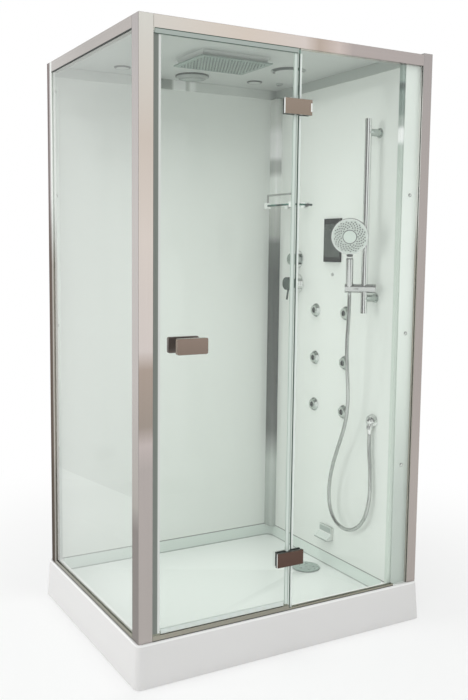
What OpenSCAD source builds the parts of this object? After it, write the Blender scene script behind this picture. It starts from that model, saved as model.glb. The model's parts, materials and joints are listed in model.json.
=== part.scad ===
// Corner shower cabin with a pivot door, walls with body jets, rain head and steam outlet.
// Millimetres, +Z up, door side facing -Y. The origin is on the floor under the tray's centre.

/* [Tray] */
// Width of the tray at the floor
tray_w = 1200; // [1160:10:1400]
// Depth of the tray at the floor
tray_d = 900; // [870:10:1100]
// Height of the tray's rim above the floor
tray_h = 148; // [136:1:180]
// How far the skirt leans inwards from the floor to the rim
tray_draft = 8; // [4:1:12]
// Corner radius of the tray seen from above
tray_corner_r = 20; // [12:1:40]
// Thickness of the tray's moulded skin
tray_skin = 6; // [4:0.5:8]
// Depth of the basin below the rim
basin_depth = 52; // [44:1:60]
// Corner radius of the basin
basin_corner_r = 30; // [20:1:60]
// Width of the rim between the frame's outer face and the basin
rim_w = 40; // [36:1:48]
// Diameter of the drain cover
drain_d = 115; // [105:1:125]
// Height of the levelling feet under the tray's steel frame
foot_h = 65; // [58:1:70]

/* [Frame] */
// Height of the top rails above the floor
cabin_h = 2120; // [2000:10:2250]
// Distance from the rim's edge to the frame's outer face
frame_inset = 8; // [6:1:14]
// Distance from the rim's rear edge to the frame's rear face
rear_inset = 23; // [15:1:40]
// Side of the square post at the front left corner
post_w = 50; // [44:1:60]
// Face width of the flat profiles that meet the building's walls
wall_post_w = 41; // [36:1:46]
// Thickness of the flat profiles that meet the building's walls
wall_post_t = 20; // [18:1:26]
// Wall thickness of the hollow aluminium profiles
profile_t = 2; // [1.5:0.1:2.5]
// Height of the top rails
rail_h = 40; // [36:1:50]
// Depth of the top rails
rail_t = 30; // [26:1:36]

/* [Glass] */
// Thickness of the clear panes and of the wall panels
glass_t = 6; // [5:1:8]
// Distance from the frame's outer face to the glass
glass_set = 4; // [3:0.5:5]
// Position of the seam between door and fixed pane, from the cabin's centre
seam_x = 0; // [-40:5:40]
// Width of the seam between door and fixed pane
seam_w = 10; // [9.6:0.1:12]
// Height of the door's threshold profile
sill_h = 18; // [12:1:24]
// Depth of the service space behind the right wall
service_w = 118; // [110:1:140]

/* [Door] */
// Distance from each hinge's centre to the tray's rim or to the top rail
hinge_inset = 192; // [150:1:260]
// Height of a hinge plate
hinge_h = 51; // [46:1:60]
// Width of a hinge plate on the door side of the seam
hinge_door_w = 62; // [52:1:70]
// Width of a hinge plate on the fixed side of the seam
hinge_fixed_w = 47; // [40:1:60]
// Diameter of the hinge pins
hinge_pin_d = 6; // [5:0.5:7]
// Height of the door handle's centre above the floor
handle_z = 1110; // [950:10:1250]
// Width of a handle block
handle_w = 110; // [80:1:140]
// Height of a handle block
handle_h = 52; // [40:1:60]
// Finger gap between a handle block and the glass
handle_gap = 23; // [20:1:30]

/* [Wall fittings] */
// Height of the mixer's axis above the floor
mixer_z = 1272; // [1200:1:1350]
// Distance from the mixer up to the diverter
valve_pitch = 104; // [90:1:130]
// Position of both valves along the right wall
valve_y = 215; // [200:1:260]
// Height of the lowest body jets above the floor
jet_z = 765; // [700:5:800]
// Distance between jets in a column
jet_pitch = 200; // [160:5:205]
// Distance between the two jet columns
jet_columns = 200; // [180:5:220]
// Diameter of a jet's ring
jet_d = 57; // [50:1:66]
// Width of the control panel
panel_w = 107; // [90:1:115]
// Height of the control panel
panel_h = 175; // [140:1:190]
// Length of the glass shelf
shelf_l = 205; // [160:5:220]
// Depth of the glass shelf
shelf_w = 103; // [80:1:120]
// Height of the shelf's underside above the floor
shelf_z = 1600; // [1560:5:1700]

/* [Hand shower] */
// Diameter of the riser rail
riser_d = 24; // [20:1:26]
// Length of the riser rail
riser_l = 722; // [650:1:760]
// Height of the riser rail's lower end above the floor
riser_z = 1179; // [1150:1:1200]
// Distance from the riser's axis to the wall
riser_off = 56; // [52:1:62]
// Diameter of the slider and of the handset holder
slider_d = 33; // [31:1:36]
// How far the hand shower leans forward at rest, in degrees
holder_lean = 13; // [11:1:18]
// Radius of the hand shower's face
handset_r = 68; // [50:1:70]
// Diameter of the hose
hose_d = 14; // [12:0.5:15]

/* [Ceiling] */
// Width of the rain head
rain_w = 296; // [240:2:340]
// Depth of the rain head
rain_d = 218; // [180:2:260]
// Diameter of the round ceiling lamp
lamp_d = 136; // [110:2:150]

/* [Hidden] */
$fn = 48;

// Clearances: a close seat, a glazing groove and a running fit, all per side
seat = 0.3;
groove = 0.3;
run = 0.05;
cut = 1;

// Outer planes of the frame
top_x = tray_w / 2 - tray_draft;
top_y = tray_d / 2 - tray_draft;
x_left = -(top_x - frame_inset);
x_right = top_x - frame_inset;
y_front = -(top_y - frame_inset);
y_back = top_y - rear_inset;

// Inner faces of the two closed walls
x_wall = x_right - service_w;
y_wall = y_back - glass_t;

// Heights
z_floor = tray_h - basin_depth;
z_under = z_floor - tray_skin;
z_rail = cabin_h - rail_h;
roof_t = 4;
roof_set = 8;
z_ceil = cabin_h - roof_set;
band_h = 40;
z_wall_top = z_ceil - band_h;

// Glass planes
front_y0 = y_front + glass_set;
front_y1 = front_y0 + glass_t;
front_ym = (front_y0 + front_y1) / 2;
left_x0 = x_left + glass_set;
left_x1 = left_x0 + glass_t;
bite = 6;
rail_floor = 8;

// Skirt, rim and steel frame of the tray
skirt_gap = 2;
rim_round = 6;
skirt_wall = 10;
bar = 25;
bar_t = 2;
basin_x0 = x_left + rim_w;
basin_y0 = y_front + rim_w;
beam_y = 0.75 * (y_wall - basin_y0) / 2;
beam_x0 = basin_x0 + 20;
beam_x1 = x_right - 40;
cross_x = [beam_x0 + bar / 2, basin_x0 + 405, basin_x0 + 794, x_wall - 11];
foot_r = 25;
stud_r = 6;

// Drain
drain_x = x_wall - 95;
drain_y = -13;
drain_hole_r = 45;
recess = 4;
trap_r = drain_hole_r - seat;
trap_z0 = 18;
trap_z = 41;
outlet_r = 20;
spigot_l = 40;
notch_w = 64;

// Panes
fixed_x0 = seam_x + seam_w / 2;
door_x1 = seam_x - seam_w / 2;
fixed_x1 = x_right - wall_post_w;
post_x1 = x_left + post_w;
magnet_t = 9;
seal_w = 10;
seal_lap = 8;
hinge_seal_lap = 13;
door_x0 = post_x1 + magnet_t + seat + seal_w - 1;
door_z0 = tray_h + sill_h + bite;
door_z1 = z_rail - 14;
hinge_z = [tray_h + hinge_inset, z_rail - hinge_inset + 1];

// Hinges, measured from the pin's axis
plate_t = 12;
plate_back = front_y0 - 4.5;
clamp_t = 6;
pad_t = 1.5;
clamp_x0 = 12;
clamp_w = 35;
door_clamp_over = 7;
ear_h = 8;
knuckle_r = 4.4;
knuckle_h = hinge_h - 2 * ear_h - 2 * 0.6 - 2;
boss_r = 6;
boss_dz = 12;
notch_x = 17;
fixed_boss_x = seam_x + clamp_x0 + clamp_w / 2;
door_boss_x = seam_x - clamp_x0 - clamp_w / 2 - 3;

// Handle
handle_x = door_x0 + 51 + handle_w / 2;
handle_t = 14;
handle_stud_r = 12;
handle_y0 = front_y0 - handle_gap - handle_t;

// The waste outlet stands out behind as far as the handle does in front
outlet_y1 = -handle_y0;

// Wall flanges, profiles and screw caps
flange_t = 4;
flange_y0 = front_y1 + 8;
flange_w = 67;
rear_flange_w = 26;
edge_w = 24;
edge_t = 16;
corner_x = 28;
corner_y = 50;
corner_r = 14;
cap_r = 7;
cap_z = [611, 1110, 1618];
cap_top_z = z_wall_top - 57;

// Roof and ceiling fittings
lip = 10;
roof_x1 = x_wall + 20;
rain_x = x_wall - 532;
rain_y = -36;
rain_t = 6;
boss_drop = 20;
rain_pipe_r = 10.5;
lamp_pos = [rain_x + 48, y_wall - 117];
lights = [[x_wall - 200, y_wall - 137], [left_x1 + 252, y_wall - 126]];
speaker_pos = [x_wall - 206, 18];
speaker_r = 70;
probe_pos = [x_wall - 89, y_wall - 156];

// Valves
rosette_t = 5;
collar_r = 23;
collar_x = x_wall - 20;
stem_r = 12;
ball_r = 15;
ball_x = x_wall - 42;
cap_len = 32;
mixer_r = 27;
cap_x0 = ball_x - 24;
diverter_r = 23.5;
diverter_l = 43;
valve_x0 = x_wall + glass_t + 2;
valve_t = 38;
valve_half = 20;
neck_r = 20;
inlet_r = 10.5;
inlet_l = 24;

// Jets
jet_y = [-117, -117 + jet_columns];
jet_out = 13;
jet_ball_r = 14;
jet_ball_in = -3;
jet_neck_r = 20;
jet_tail = 26;
pipe_d = 15;
pipe_x = x_wall + jet_tail + pipe_d / 2;

// Control panel and steam outlet
panel_y = -25.5;
panel_z = 1368;
panel_t = 10;
sensor_z = panel_z - 51;
steam_y = -27;
steam_z = 213;
steam_w = 84;
steam_pipe_z = 228;
steam_nose = 36;
steam_back = 11;
steam_h = 55;

// Shelf
shelf_t = 8;
shelf_y = 125;
guard_h = 40;
guard_r = 4;

// Riser, slider and hand shower
riser_x = x_wall - riser_off;
riser_y = basin_y0 + 100;
riser_wall = 1.2;
bracket_r = 13;
bracket_z = [riser_z + 57, riser_z + riser_l - 49];
bar_turn = -42;
slider_z = bracket_z[0] + bracket_r + slider_d / 2 + 7.5;
slider_s0 = -22;
slider_s1 = 43;
holder_s = -55;
holder_s0 = -72;
pivot_pin_r = 6;
pivot_pin_l = 14;
grip_r = 13.5;
tail_r = 11;
tail_l = 12;
head_z = 200;
head_t = 18;

// Wall elbow of the hose
elbow_x = x_wall - 16;
elbow_y = riser_y - 6;
elbow_z = 763;
ferrule_z = 712 + seat;

// Route of the hose, from under the hand shower down the loop and up to the elbow
HOSE_ROUTE = [[371.4, -254.7, 1258.4], [374, -252, 1241], [374, -252, 1210], [372, -254, 1170],
    [370, -253, 1120], [371, -249, 1070], [374, -246, 1010], [379, -245, 950],
    [385, -243, 890], [391, -237, 830], [397, -222, 765], [402, -196, 700],
    [407, -163, 635], [412, -129, 565], [417, -104, 495], [421, -93, 430],
    [425, -97, 370], [428, -122, 327], [432, -160, 306], [435, -205, 305],
    [438, -250, 325], [442, -284, 362], [445, -304, 410], [447, -314, 465],
    [449, -313, 525], [450, -309, 580], [450, -303, 630], [450, -300, 670],
    [450, -300, 712]];

// Service space
gen_w = 96;
gen_l = 270;
gen_h = 272;
gen_y = 60;
gen_t = 1.5;

module block(a, b) translate(a) cube([b[0] - a[0], b[1] - a[1], b[2] - a[2]]);
module rod_x(x0, x1, y, z, r) translate([x0, y, z]) rotate([0, 90, 0]) cylinder(r = r, h = x1 - x0);
module rod_y(y0, y1, x, z, r) translate([x, y0, z]) rotate([-90, 0, 0]) cylinder(r = r, h = y1 - y0);
module rod_z(z0, z1, x, y, r) translate([x, y, z0]) cylinder(r = r, h = z1 - z0);

// Rectangle with true round corners
module round_rect(a, b, r) {
    translate([a[0] + r, a[1]]) square([b[0] - a[0] - 2 * r, b[1] - a[1]]);
    translate([a[0], a[1] + r]) square([b[0] - a[0], b[1] - a[1] - 2 * r]);
    for (x = [a[0] + r, b[0] - r], y = [a[1] + r, b[1] - r]) translate([x, y]) circle(r = r);
}

// Pipe with straight runs and ball joints through the given points
module pipe(points, r) {
    for (i = [1 : len(points) - 1]) {
        step = points[i] - points[i - 1];
        length = norm(step);
        translate(points[i - 1])
            rotate([0, acos(step[2] / length), atan2(step[1], step[0])])
                cylinder(r = r, h = length);
        if (i < len(points) - 1) translate(points[i]) sphere(r = r);
    }
}

// Tube swept along a route with rings square to it
function catmull(a, b, c, d, t) =
    0.5 * (2 * b + (c - a) * t + (2 * a - 5 * b + 4 * c - d) * t * t
    + (3 * b - a - 3 * c + d) * t * t * t);
function clamp_index(i, n) = i < 0 ? 0 : i > n - 1 ? n - 1 : i;
function smooth_route(route, steps) = let (n = len(route)) [
    for (i = [0 : n - 2], k = [0 : steps - 1])
        catmull(route[clamp_index(i - 1, n)], route[i], route[i + 1],
            route[clamp_index(i + 2, n)], k / steps),
    route[n - 1]];
function unit(v) = v / norm(v);
function heading(path, i) = unit(path[clamp_index(i + 1, len(path))] - path[clamp_index(i - 1, len(path))]);
function ring(path, i, r, sides) = let (
    t = heading(path, i), u = unit(cross(t, [0, 1, 0.2])), v = cross(t, u))
    [for (k = [0 : sides - 1]) path[i] + r * (cos(360 * k / sides) * u + sin(360 * k / sides) * v)];
module swept_tube(path, r, sides) {
    rings = len(path);
    points = [for (i = [0 : rings - 1]) each ring(path, i, r, sides)];
    walls = [for (i = [0 : rings - 2], k = [0 : sides - 1]) let (
        a = i * sides + k, b = i * sides + (k + 1) % sides)
        each [[a, b, a + sides], [b, b + sides, a + sides]]];
    first = [for (k = [1 : sides - 2]) [0, k + 1, k]];
    last = [for (k = [1 : sides - 2]) let (o = (rings - 1) * sides) [o, o + k, o + k + 1]];
    polyhedron(points = points, faces = concat(walls, first, last));
}

// Tray and what carries it
module skirt_layer(z, inset) {
    for (sx = [-1, 1], sy = [-1, 1])
        translate([sx * (tray_w / 2 - inset - tray_corner_r),
            sy * (tray_d / 2 - inset - tray_corner_r), z])
            cylinder(r = tray_corner_r, h = 0.1, $fn = 32);
}

module shower_tray() color("white") difference() {
    union() {
        difference() {
            hull() {
                skirt_layer(skirt_gap, 0);
                skirt_layer(tray_h - rim_round, tray_draft);
                skirt_layer(tray_h - 0.1, tray_draft + rim_round / 2);
            }
            block([-top_x + skirt_wall, -top_y + skirt_wall, -cut],
                [top_x - skirt_wall, top_y - skirt_wall, tray_h - tray_skin]);
        }
        block([basin_x0 - tray_skin, basin_y0 - tray_skin, z_under],
            [x_wall + tray_skin, y_wall + tray_skin, tray_h]);
    }
    translate([0, 0, z_floor]) linear_extrude(basin_depth + cut)
        round_rect([basin_x0, basin_y0], [x_wall, y_wall], basin_corner_r);
    rod_z(z_floor - recess, z_floor + cut, drain_x, drain_y, drain_d / 2 + 2);
    rod_z(z_under - cut, z_floor, drain_x, drain_y, drain_hole_r);
    block([drain_x - notch_w / 2, top_y - skirt_wall - cut, -cut],
        [drain_x + notch_w / 2, tray_d / 2 + cut, trap_z + outlet_r + 10]);
}

module hollow_bar(a, b, axis) difference() {
    block(a, b);
    grow = [for (i = [0 : 2]) i == axis ? -cut : bar_t];
    block(a + grow, b - grow);
}

module tray_frame() color("dimgray") difference() {
    union() {
        for (s = [-1, 1])
            hollow_bar([beam_x0, s * beam_y - bar / 2, foot_h],
                [beam_x1, s * beam_y + bar / 2, z_under], 0);
        for (x = cross_x)
            block([x - bar / 2, -beam_y + bar / 2, foot_h + bar_t],
                [x + bar / 2, beam_y - bar / 2, z_under]);
        for (s = [-1, 1])
            block([beam_x1 - bar, s * beam_y - bar / 2, z_under],
                [beam_x1, s * beam_y + bar / 2, tray_h - tray_skin]);
    }
    for (x = cross_x)
        block([x - bar / 2 + bar_t, -beam_y + bar / 2 - cut, foot_h],
            [x + bar / 2 - bar_t, beam_y - bar / 2 + cut, z_under - bar_t]);
}

module tray_feet() color("black") {
    for (x = [cross_x[0], cross_x[1], cross_x[2], beam_x1 - bar / 2], s = [-1, 1]) {
        rod_z(0, 8, x, s * beam_y, foot_r);
        rod_z(8, foot_h, x, s * beam_y, stud_r);
        translate([x, s * beam_y, foot_h - 8]) cylinder(r = 10, h = 8, $fn = 6);
    }
}

module waste_trap() color("gainsboro") difference() {
    union() {
        rod_z(z_floor - recess, z_floor - 1, drain_x, drain_y, drain_d / 2 - 2);
        rod_z(trap_z0, z_floor - recess, drain_x, drain_y, trap_r);
        rod_z(z_under - 10, z_under, drain_x, drain_y, trap_r + 11);
        rod_y(drain_y, outlet_y1 - spigot_l, drain_x, trap_z, outlet_r + 2);
        rod_y(outlet_y1 - spigot_l, outlet_y1, drain_x, trap_z, outlet_r);
    }
    rod_z(trap_z0 + 3, z_floor + cut, drain_x, drain_y, trap_r - 4);
    rod_y(drain_y, outlet_y1 + cut, drain_x, trap_z, outlet_r - 2);
}

module drain_cover() color("silver") {
    rod_z(z_floor + 2, z_floor + 4, drain_x, drain_y, drain_d / 2);
    translate([drain_x, drain_y, z_floor + 4])
        cylinder(r1 = drain_d / 2, r2 = drain_d / 2 - 12, h = 2);
    for (a = [45 : 90 : 315])
        rod_z(z_floor - 1, z_floor + 2, drain_x + 50 * cos(a), drain_y + 50 * sin(a), 3);
    rod_z(z_floor - 20, z_floor + 2, drain_x, drain_y, 9);
}

// Aluminium frame
module front_left_post() color("lightgray") difference() {
    block([x_left, y_front, tray_h], [post_x1, y_front + post_w, cabin_h]);
    block([x_left + profile_t, y_front + profile_t, tray_h - cut],
        [post_x1 - profile_t, y_front + post_w - profile_t, cabin_h - profile_t]);
}

module rear_left_post() color("lightgray") difference() {
    block([x_left, y_back - post_w, tray_h], [x_left + wall_post_t, y_back, cabin_h]);
    block([left_x0 - groove, y_back - post_w - cut, tray_h - cut],
        [left_x1 + groove, y_back - post_w + bite + 2, z_rail + bite]);
    block([x_left + profile_t, y_back - post_w + bite + 2 + profile_t, tray_h - cut],
        [x_left + wall_post_t - profile_t, y_back - profile_t, cabin_h - profile_t]);
}

module front_right_post() color("lightgray") difference() {
    block([fixed_x1, y_front, tray_h], [x_right, y_front + wall_post_t, cabin_h + 5]);
    block([fixed_x1 - cut, front_y0 - groove, tray_h - cut],
        [fixed_x1 + bite, front_y1 + groove, z_rail + bite]);
    block([fixed_x1 + bite + profile_t, y_front + profile_t, tray_h - cut],
        [x_right - profile_t, y_front + wall_post_t - profile_t, cabin_h]);
}

module wall_profiles() color("silver") {
    translate([0, 0, tray_h]) linear_extrude(z_wall_top - tray_h) difference() {
        translate([x_wall - corner_x, y_wall - corner_y])
            square([corner_x + glass_t, corner_y + glass_t]);
        translate([x_wall - corner_x, y_wall - corner_y]) difference() {
            translate([-cut, -cut]) square(corner_r + cut);
            translate([corner_r, corner_r]) circle(r = corner_r);
        }
    }
    block([x_wall - 3, flange_y0 + flange_t + seat, tray_h],
        [x_wall - 3 + edge_w, flange_y0 + flange_t + seat + edge_t, z_rail]);
}

module front_top_rail() color("lightgray") {
    difference() {
        block([post_x1, y_front, z_rail], [fixed_x1, y_front + rail_t, cabin_h]);
        block([post_x1 - cut, y_front + profile_t, z_rail + rail_floor],
            [fixed_x1 + cut, y_front + rail_t - profile_t, cabin_h - profile_t]);
        block([seam_x, front_y0 - groove, z_rail - cut],
            [fixed_x1 + cut, front_y1 + groove, z_rail + bite]);
    }
    block([post_x1 + lip, y_front + rail_t, z_ceil - 4], [fixed_x1, y_front + rail_t + lip, z_ceil]);
}

module left_top_rail() color("lightgray") {
    difference() {
        block([x_left, y_front + post_w, z_rail], [x_left + rail_t, y_back - post_w, cabin_h]);
        block([x_left + profile_t, y_front + post_w - cut, z_rail + rail_floor],
            [x_left + rail_t - profile_t, y_back - post_w + cut, cabin_h - profile_t]);
        block([left_x0 - groove, y_front + post_w - cut, z_rail - cut],
            [left_x1 + groove, y_back - post_w + cut, z_rail + bite]);
    }
    block([x_left + rail_t, y_front + post_w, z_ceil - 4],
        [x_left + rail_t + lip, y_back - post_w, z_ceil]);
}

module wall_top_rails() color("gainsboro") {
    block([x_left + wall_post_t, y_wall - 3, z_wall_top], [x_wall + 9, y_back, z_ceil]);
    block([x_wall - 3, y_front + rail_t + lip + seat, z_wall_top], [x_wall + 9, y_wall - 3 - seat, z_ceil]);
}

module bottom_channels() color("tan") {
    difference() {
        block([x_left, y_front + post_w, tray_h], [x_left + 18, y_back - post_w, tray_h + 15]);
        block([left_x0 - groove, y_front + post_w - cut, tray_h + 3],
            [left_x1 + groove, y_back - post_w + cut, tray_h + 15 + cut]);
    }
    difference() {
        block([seam_x, y_front, tray_h], [fixed_x1 - flange_w, y_front + 18, tray_h + 8]);
        block([seam_x - cut, front_y0 - groove, tray_h + 2],
            [fixed_x1 - flange_w + cut, front_y1 + groove, tray_h + 8 + cut]);
    }
}

module door_sill() color("lightgray") difference() {
    block([post_x1, y_front, tray_h], [seam_x - seat, y_front + rail_t, tray_h + sill_h]);
    block([post_x1 - cut, y_front + profile_t, tray_h - cut],
        [seam_x, y_front + rail_t - profile_t, tray_h + sill_h - 3]);
}

// Panes
module left_glass() color("lightblue", 0.4)
    block([left_x0, y_front + post_w + seat, tray_h + 3],
        [left_x1, y_back - post_w + bite, z_rail + bite - seat]);

module fixed_glass() color("lightblue", 0.4) difference() {
    block([fixed_x0, front_y0, tray_h + 2], [fixed_x1 + bite - seat, front_y1, z_rail + bite - seat]);
    for (z = hinge_z, s = [-1, 1])
        rod_y(front_y0 - cut, front_y1 + cut, fixed_boss_x, z + s * boss_dz, boss_r + seat);
}

module door_glass() color("lightblue", 0.4) difference() {
    block([door_x0, front_y0, door_z0], [door_x1, front_y1, door_z1]);
    for (z = hinge_z) {
        block([door_x1 - notch_x, front_y0 - cut, z - knuckle_h / 2 - 1.5],
            [door_x1 + cut, front_y1 + cut, z + knuckle_h / 2 + 1.5]);
        for (s = [-1, 1])
            rod_y(front_y0 - cut, front_y1 + cut, door_boss_x, z + s * boss_dz, boss_r + seat);
    }
    rod_y(front_y0 - cut, front_y1 + cut, handle_x, handle_z, 8 + seat);
}

// Seals
module frame_seals() color("darkslategray") {
    block([post_x1, front_y0 - 1, door_z0], [post_x1 + magnet_t, front_y1 + 1, door_z1]);
    block([post_x1 + 5, y_front + 0.5, z_rail - 18], [door_x1, y_front + 2, z_rail]);
}

module door_seals() color("whitesmoke") {
    lap_x0 = door_x0 + seal_lap;
    lap_x1 = door_x1 - hinge_seal_lap;
    difference() {
        block([post_x1 + magnet_t + seat, front_y0 - 1, door_z0], [lap_x0, front_y1 + 1, door_z1]);
        block([door_x0, front_y0, door_z0 - cut], [lap_x0 + cut, front_y1, door_z1 + cut]);
    }
    difference() {
        block([lap_x1, front_y0 - 1, door_z0], [door_x1 + 1, front_y1 + 1, door_z1]);
        block([lap_x1 - cut, front_y0, door_z0 - cut], [door_x1, front_y1, door_z1 + cut]);
        for (z = hinge_z)
            block([lap_x1 - cut, front_y0 - 2, z - hinge_h / 2 - 1],
                [door_x1 + 1 + cut, front_y1 + 2, z + hinge_h / 2 + 1]);
    }
    difference() {
        block([lap_x0 + 5, front_y0 - 1, door_z0 - 4], [lap_x1 - 5, front_y1 + 1, door_z0 + 12]);
        block([lap_x0 + 5 - cut, front_y0, door_z0], [lap_x1 - 5 + cut, front_y1, door_z0 + 12 + cut]);
    }
}

// Hinges: a cover plate on the fixed pane carries the pin, the door's clamp turns on it
module hinge_front_plates() color("silver") {
    for (z = hinge_z) difference() {
        union() {
            block([seam_x - hinge_door_w, plate_back - plate_t, z - hinge_h / 2],
                [seam_x + hinge_fixed_w, plate_back, z + hinge_h / 2]);
            block([seam_x + clamp_x0, plate_back, z - hinge_h / 2 + 2],
                [seam_x + clamp_x0 + clamp_w - 2, front_y0, z + hinge_h / 2 - 2]);
            for (s = [-1, 1]) {
                ear_z = z + s * (hinge_h / 2 - ear_h / 2) - ear_h / 2;
                rod_z(ear_z, ear_z + ear_h, seam_x, front_ym, 4);
                block([seam_x - 4, plate_back, ear_z], [seam_x + 4, front_ym, ear_z + ear_h]);
            }
        }
        rod_z(z - hinge_h, z + hinge_h, seam_x, front_ym, hinge_pin_d / 2);
    }
}

module hinge_fixed_clamps() color("silver") {
    for (z = hinge_z) {
        block([seam_x + clamp_x0, front_y1, z - hinge_h / 2],
            [seam_x + clamp_x0 + clamp_w, front_y1 + pad_t + clamp_t, z + hinge_h / 2]);
        for (s = [-1, 1]) rod_y(front_y0, front_y1, fixed_boss_x, z + s * boss_dz, boss_r);
    }
}

module hinge_door_clamps() color("silver") {
    x_out = seam_x - clamp_x0 - clamp_w - door_clamp_over;
    for (z = hinge_z) difference() {
        union() {
            block([x_out, front_y1, z - hinge_h / 2],
                [seam_x - clamp_x0, front_y1 + pad_t + clamp_t, z + hinge_h / 2]);
            block([x_out, front_y0 - 3, z - hinge_h / 2 + 2],
                [door_x1 - notch_x + 4, front_y0, z + hinge_h / 2 - 2]);
            for (s = [-1, 1]) rod_y(front_y0, front_y1, door_boss_x, z + s * boss_dz, boss_r);
            block([door_x1 - notch_x + seat, front_y0, z - knuckle_h / 2],
                [seam_x, front_y1, z + knuckle_h / 2]);
            rod_z(z - knuckle_h / 2, z + knuckle_h / 2, seam_x, front_ym, knuckle_r);
        }
        rod_z(z - hinge_h, z + hinge_h, seam_x, front_ym, hinge_pin_d / 2 + run);
    }
}

module hinge_pins() color("gray") {
    for (z = hinge_z)
        rod_z(z - hinge_h / 2 + 1, z + hinge_h / 2 - 1, seam_x, front_ym, hinge_pin_d / 2);
}

// Handle: two blocks held off the glass by studs
module handle_block(y0, y1) translate([0, y1, 0]) rotate([90, 0, 0]) linear_extrude(y1 - y0)
    round_rect([handle_x - handle_w / 2, handle_z - handle_h / 2],
        [handle_x + handle_w / 2, handle_z + handle_h / 2], 6);

module handle_outer() color("silver") {
    handle_block(handle_y0, handle_y0 + handle_t);
    rod_y(front_y0 - handle_gap, front_y0, handle_x, handle_z, handle_stud_r);
    rod_y(front_y0, front_y1, handle_x, handle_z, 8);
}

module handle_inner() color("silver") {
    handle_block(front_y1 + handle_gap, front_y1 + handle_gap + handle_t);
    rod_y(front_y1, front_y1 + handle_gap, handle_x, handle_z, handle_stud_r);
}

// Walls
module rear_wall() color("honeydew")
    block([x_left + wall_post_t + rear_flange_w, y_wall, tray_h],
        [x_wall - corner_x, y_back, z_wall_top]);

module right_wall() color("honeydew") difference() {
    block([x_wall, flange_y0 + flange_t + seat + edge_t, tray_h],
        [x_wall + glass_t, y_wall - corner_y, z_wall_top]);
    for (y = jet_y, k = [0 : 2])
        rod_x(x_wall - cut, x_wall + glass_t + cut, y, jet_z + k * jet_pitch, jet_neck_r + seat);
    for (k = [0, 1])
        rod_x(x_wall - cut, x_wall + glass_t + cut, valve_y, mixer_z + k * valve_pitch, neck_r + seat);
    rod_x(x_wall - cut, x_wall + glass_t + cut, elbow_y, elbow_z, 10 + seat);
    rod_x(x_wall - cut, x_wall + glass_t + cut, panel_y, panel_z + panel_h / 2, 12 + seat);
    rod_x(x_wall - cut, x_wall + glass_t + cut, panel_y, sensor_z, 4 + seat);
    rod_x(x_wall - cut, x_wall + glass_t + cut, steam_y, steam_pipe_z, 9 + seat);
}

module wall_flanges() color("white") {
    block([fixed_x1 - flange_w, flange_y0, tray_h], [fixed_x1, flange_y0 + flange_t, z_rail]);
    block([x_left + wall_post_t, y_wall - flange_t, tray_h],
        [x_left + wall_post_t + rear_flange_w, y_back, z_wall_top]);
}

module screw_caps() color("silver") {
    for (z = cap_z) {
        screw_cap(fixed_x1 - flange_w / 2, flange_y0, z);
        screw_cap(x_left + wall_post_t + rear_flange_w / 2 - 2, y_wall - flange_t, z);
    }
    screw_cap(x_left + wall_post_t + rear_flange_w / 2 - 2, y_wall - flange_t, cap_top_z);
}
module screw_cap(x, y, z) {
    rod_y(y - 2, y, x, z, cap_r);
    translate([x, y - 2, z]) rotate([90, 0, 0]) cylinder(r1 = cap_r, r2 = cap_r - 3, h = 2);
}

// Roof and ceiling fittings
module roof_panel() color("white") difference() {
    union() {
        block([x_left + rail_t + seat, y_front + rail_t + seat, z_ceil],
            [roof_x1, y_back, z_ceil + roof_t]);
        hull() {
            block([rain_x - rain_w / 2 + 6, rain_y - rain_d / 2 + 6, z_ceil - 1],
                [rain_x + rain_w / 2 - 6, rain_y + rain_d / 2 - 6, z_ceil]);
            block([rain_x - rain_w / 2 + 18, rain_y - rain_d / 2 + 18, z_ceil - boss_drop],
                [rain_x + rain_w / 2 - 18, rain_y + rain_d / 2 - 18, z_ceil - boss_drop + 1]);
        }
    }
    block([rain_x - rain_w / 2 + 24, rain_y - rain_d / 2 + 24, z_ceil - boss_drop + 4],
        [rain_x + rain_w / 2 - 24, rain_y + rain_d / 2 - 24, z_ceil + roof_t + cut]);
    rod_z(z_ceil - boss_drop - cut, z_ceil, rain_x, rain_y, rain_pipe_r + seat);
    block([x_left, y_front, z_ceil - cut],
        [post_x1 + seat, y_front + post_w + seat, z_ceil + roof_t + cut]);
}

module rain_head() color("silver") {
    block([rain_x - rain_w / 2, rain_y - rain_d / 2, z_ceil - boss_drop - rain_t],
        [rain_x + rain_w / 2, rain_y + rain_d / 2, z_ceil - boss_drop]);
    rod_z(z_ceil - boss_drop, z_ceil + roof_t, rain_x, rain_y, rain_pipe_r);
}

module ceiling_lights() color("ivory") {
    translate([lamp_pos[0], lamp_pos[1], z_ceil]) {
        translate([0, 0, -6]) cylinder(r = lamp_d / 2, h = 6);
        translate([0, 0, -14]) cylinder(r1 = lamp_d / 2 - 14, r2 = lamp_d / 2 - 3, h = 8);
    }
    for (p = lights) translate([p[0], p[1], z_ceil - 5]) cylinder(r1 = 30, r2 = 33, h = 5);
}

module ceiling_speaker() color("whitesmoke") {
    translate([speaker_pos[0], speaker_pos[1], z_ceil - 8]) cylinder(r1 = speaker_r - 9, r2 = speaker_r, h = 8);
    translate([probe_pos[0], probe_pos[1], z_ceil - 8]) cylinder(r1 = 12, r2 = 17, h = 8);
}

// Shelf with its guard rail and clamps
module shelf_glass() color("lightblue", 0.5)
    block([x_wall - shelf_w, shelf_y, shelf_z], [x_wall - seat, shelf_y + shelf_l, shelf_z + shelf_t]);

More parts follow.
